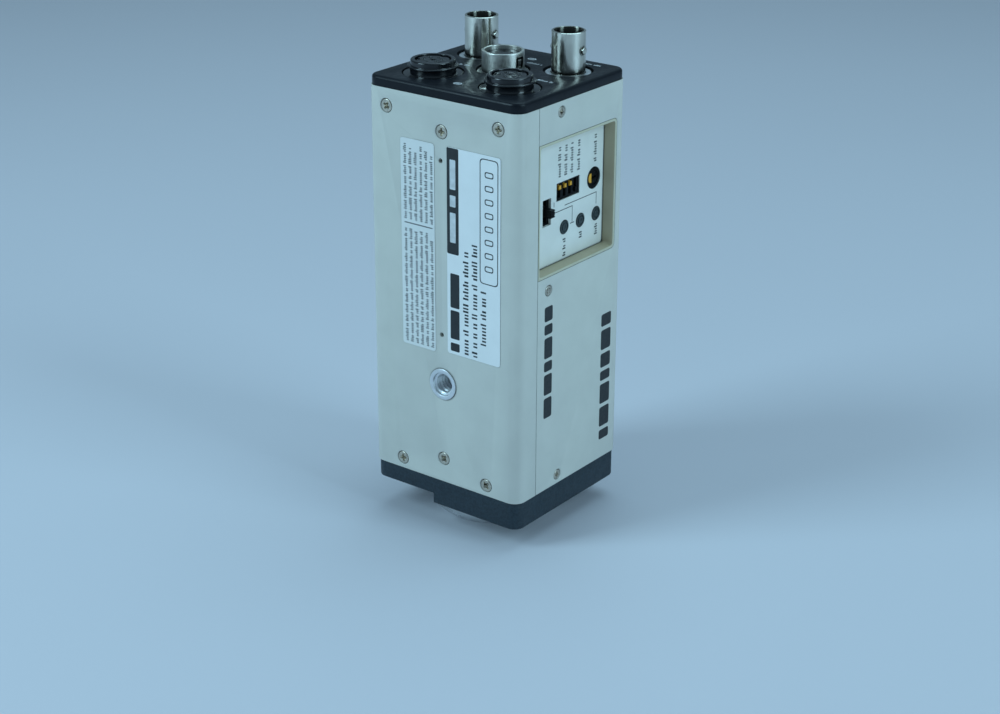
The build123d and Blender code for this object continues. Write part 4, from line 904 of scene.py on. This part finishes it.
def print_shapes(name, outlines, place, slot):
    """Closed outlines laid on a surface as a thin layer of ink."""
    bm = bmesh.new()
    for outline in outlines:
        prism(bm, outline, -INK_SINK, INK_THICKNESS, place)
    piece(name, bm, slot)


def stroke(points, width):
    """Rectangles along a polyline of axis-parallel runs."""
    half = width / 2
    shapes = []
    for (x0, y0), (x1, y1) in zip(points, points[1:]):
        left, right = sorted((x0, x1))
        bottom, top = sorted((y0, y1))
        shapes.append(box_outline(left - half, bottom - half, right + half, top + half))
    return shapes


def ring_stroke(x0, y0, x1, y1, radius, width):
    """The outline of a rounded box, as a chain of short pieces."""
    outer = box_outline(x0, y0, x1, y1, radius)
    inner = box_outline(x0 + width, y0 + width, x1 - width, y1 - width, radius * 0.9)
    shapes = []
    for i in range(len(outer)):
        j = (i + 1) % len(outer)
        shapes.append([outer[i], outer[j], inner[j], inner[i]])
    return shapes


def print_words(chance, axis, position, start, end, height):
    """A line of plain ticks in word-like groups: print that says nothing.

    It runs from start to end along an axis, at a position on the other one.
    """
    step = height * 0.52
    shapes = []
    at = start
    while at < end - step:
        for _ in range(chance.randint(2, 7)):
            if at > end - step:
                break
            tall = height * chance.choice((1.0, 0.72, 0.72))
            thick = height * chance.uniform(0.24, 0.32)
            if axis == ALONG_Y:
                foot = position + height / 2
                shapes.append(box_outline(foot - tall, at, foot, at + thick))
            else:
                foot = position - height / 2
                shapes.append(box_outline(at, foot, at + thick, foot + tall))
            at += step
        at += step * 0.9
    return shapes


def rating_print():
    """Plain marks where the rating label is printed: a dark band, an outlined box and lines of ticks."""
    chance = random.Random(11)
    lo, hi = low("rating_label"), high("rating_label")
    place = on_tripod_side(0, 0, lo.y)
    left, bottom, top = lo.x, lo.z, hi.z
    dark = [box_outline(left + 0.05, top - 30.7, left + 4.15, top - 0.1, 0.5)]
    dark += ring_stroke(left + 11.5, bottom + 23.6, left + 17.85, bottom + 59.6, 1.3, 0.28)
    ring_pitch = 3.85
    for k in range(8):
        at = bottom + 27.3 + ring_pitch * k
        dark += ring_stroke(left + 13.2, at, left + 16.2, at + 1.75, 0.7, 0.3)
    for start, end in ((0.9, 3.4), (4.6, 13.2), (14.0, 24.2)):
        dark.append(box_outline(left + 1.1, bottom + start, left + 4.3, bottom + end, 0.4))
    for across, start, end in ((6.55, 0.9, 32.2), (9.65, 0.9, 36.5), (12.75, 5.2, 22.3)):
        dark += print_words(chance, ALONG_Y, left + across, bottom + start, bottom + end, 1.9)
    print_shapes("rating_print", dark, place, "print_dark")
    light = []
    for start, end in ((27.3, 18.6), (16.9, 13.6), (11.9, 3.4)):
        light.append(box_outline(left + 1.1, top - start, left + 3.1, top - end, 0.3))
    print_shapes("rating_band_print", light, on_tripod_side(0, 0, lo.y - INK_THICKNESS), "print_light")


def notice_print():
    """Fine lines of ticks on the notice label, with a rule between its two blocks."""
    chance = random.Random(23)
    lo, hi = low("notice_label"), high("notice_label")
    rule, pitch, height = lo.z + 36.8, 1.88, 1.05
    shapes = stroke([(lo.x + 1.3, rule), (hi.x - 0.9, rule)], 0.28)
    for k in range(6):
        across = lo.x + 1.5 + pitch * k
        shapes += print_words(chance, ALONG_Y, across, rule + 1.2, hi.z - 1.2 - 1.1 * (k % 3), height)
        shapes += print_words(chance, ALONG_Y, across, lo.z + 1.0, rule - 1.0 - 2.2 * (k == 5), height)
    print_shapes("notice_print", shapes, on_tripod_side(0, 0, lo.y), "print_dark")


def recess_print():
    """Guide lines from the slide switch to the buttons, and plain ticks for the legends."""
    chance = random.Random(5)
    place = on_flank(1, 0, 0, high("control_plate").x)
    line, height = 0.22, 1.35
    knob_line, set_line, button_line = 96.5, 97.6, 91.5
    shapes = stroke([(-4.3, knob_line), (4.4, knob_line), (4.4, button_line)], line)
    shapes += stroke([(3.5, button_line), (5.3, button_line)], line)
    shapes += stroke([(0.8, set_line), (16.1, set_line), (16.1, 94.2)], line)
    shapes += stroke([(-4.4, 98.4), (-4.4, 99.6)], line)
    for across in (-2.05, 0.95, 3.75, 7.05):
        shapes += print_words(chance, ALONG_Y, across, 106.4, 115.6, height)
    shapes += print_words(chance, ALONG_Y, 15.1, 106.9, 115.2, height)
    for across, bottom in ((0.65, 82.6), (8.55, 85.9), (16.1, 84.9)):
        shapes += print_words(chance, ALONG_Y, across, bottom, 88.5, height)
    print_shapes("recess_print", shapes, place, "print_dark")


def flank_print():
    """Two rows of plain blocks where the control flank carries its maker's print."""
    chance = random.Random(3)
    shapes = []
    for left, right, bottom, top, gap in ((15.0, 19.9, 21.0, 61.0, 1.2), (-13.1, -9.3, 37.8, 73.2, 1.0)):
        at = bottom
        while at < top - 2:
            length = min(chance.choice((3.0, 4.4, 6.2)), top - at)
            shapes.append(box_outline(left, at, right, at + length, 0.7))
            at += length + gap
    print_shapes("flank_print", shapes, on_flank(1, 0, 0), "print_dark")


def rear_print():
    """Small light ovals and ticks beside the sockets."""
    chance = random.Random(31)
    half_wide, half_high, line = 1.3, 0.85, 0.3
    marks = []
    for y in (-18.0, 16.0):
        marks += ring_stroke(-half_wide, y - half_high, half_wide, y + half_high, 0.8, line)
        marks += stroke([(-0.5, y), (0.5, y)], line)
    for x, y in ((-14.4, -1.0), (1.3, 12.2), (14.8, -1.3), (14.9, 21.4)):
        marks += print_words(chance, ALONG_X, y, x, x + 5.6, 1.15)
    print_shapes("rear_print", marks, on_top(0, 0, high("rear_panel").z), "print_light")


# ---------------------------------------------------------------- stage
LIGHT_TINT = (0.53, 0.84, 1.0)
SKY_COLOUR = (0.34, 0.52, 0.66)
SKY_STRENGTH = 0.40
LIT_POINT = (0, 0, 0.075)  # about half way up the object
FLOOR_SIZE = 60.0

# Each lamp's place, size and power
LAMPS = {
    "key": ((-0.45, -0.70, 0.60), (0.35, 0.7), 6.2),
    "fill": ((0.85, 0.05, 0.45), (0.35, 0.7), 4.1),
    "overhead": ((0.0, 0.35, 0.95), (0.9, 0.7), 3.6),
}

CAMERA_PLACE = (0.33378, -0.43642, 0.27539)
AZIMUTH, ELEVATION, ROLL = radians(37.318), radians(22.665), radians(0.1986)
FOCAL_LENGTH, SENSOR_WIDTH = 72.56, 36.0


def photo_camera():
    """The camera at the photograph's viewing angle, distance and focal length."""
    data = bpy.data.cameras.new("camera")
    data.sensor_width = SENSOR_WIDTH
    data.lens = FOCAL_LENGTH
    data.clip_start = 0.01
    camera = bpy.data.objects.new("camera", data)
    level = cos(ELEVATION)
    back = Vector((sin(AZIMUTH) * level, -cos(AZIMUTH) * level, sin(ELEVATION)))
    right = Vector((0, 0, 1)).cross(back).normalized()
    up = back.cross(right)
    rolled_right = right * cos(ROLL) + up * sin(ROLL)
    rolled_up = up * cos(ROLL) - right * sin(ROLL)
    camera.matrix_world = Matrix((rolled_right, rolled_up, back)).transposed().to_4x4()
    camera.location = CAMERA_PLACE
    bpy.context.scene.collection.objects.link(camera)
    bpy.context.scene.camera = camera


def soft_box(name, place, size, power):
    """A large rectangular lamp aimed at the object."""
    data = bpy.data.lights.new(name, "AREA")
    data.shape = "RECTANGLE"
    data.size, data.size_y = size
    data.energy = power
    data.color = LIGHT_TINT
    lamp = bpy.data.objects.new(name, data)
    lamp.location = place
    lamp.rotation_euler = (Vector(LIT_POINT) - Vector(place)).to_track_quat("-Z", "Y").to_euler()
    bpy.context.scene.collection.objects.link(lamp)


def floor():
    """A pale floor that reaches the horizon."""
    bpy.ops.mesh.primitive_plane_add(size=FLOOR_SIZE)
    plane = bpy.context.object
    plane.name = "floor"
    paper = Surface("floor_paper", (0.58, 0.575, 0.63), 0.85)
    paper.mottle(400.0, 0.01)
    plane.data.materials.append(paper.material)


def sky():
    """A soft, even sky."""
    world = bpy.data.worlds.new("sky")
    bpy.context.scene.world = world
    world.use_nodes = True
    light = world.node_tree.nodes["Background"]
    light.inputs["Color"].default_value = (*SKY_COLOUR, 1)
    light.inputs["Strength"].default_value = SKY_STRENGTH


def studio():
    """The floor, the lamps, the sky and a picture with plain colours."""
    floor()
    for name, (place, size, power) in LAMPS.items():
        soft_box(name, place, size, power)
    sky()
    bpy.context.scene.view_settings.view_transform = "Standard"


# ---------------------------------------------------------------- the whole camera
# The CAD nodes shown in their own shape, each with the width of its rounded edges in millimetres
SOFTENED = {
    "bottom_channel": 0.12,
    "top_cover": 0.12,
    "front_casting": 0.18,
    "rear_panel": 0.15,
    "control_bezel": 0.18,
    "control_plate": 0.08,
    "dip_switch_body": 0.06,
    "slide_switch_body": 0.08,
    "rotary_switch_body": 0.08,
}

finish_cad_nodes()
for node, width in SOFTENED.items():
    refined(node, width)
case_screws()
tripod_insert()
lens_ring()
for node in ("bnc_shell_a", "bnc_shell_b"):
    bayonet_socket(node)
for node in ("din_housing_a", "din_housing_b"):
    round_socket(node)
locking_socket()
for node in ("button_down", "button_up", "button_set"):
    push_button(node)
for number in range(1, 5):
    bank_slider(f"dip_slider_{number}")
slide_knob()
rotary_switch()
rating_print()
notice_print()
recess_print()
flank_print()
rear_print()
photo_camera()
studio()
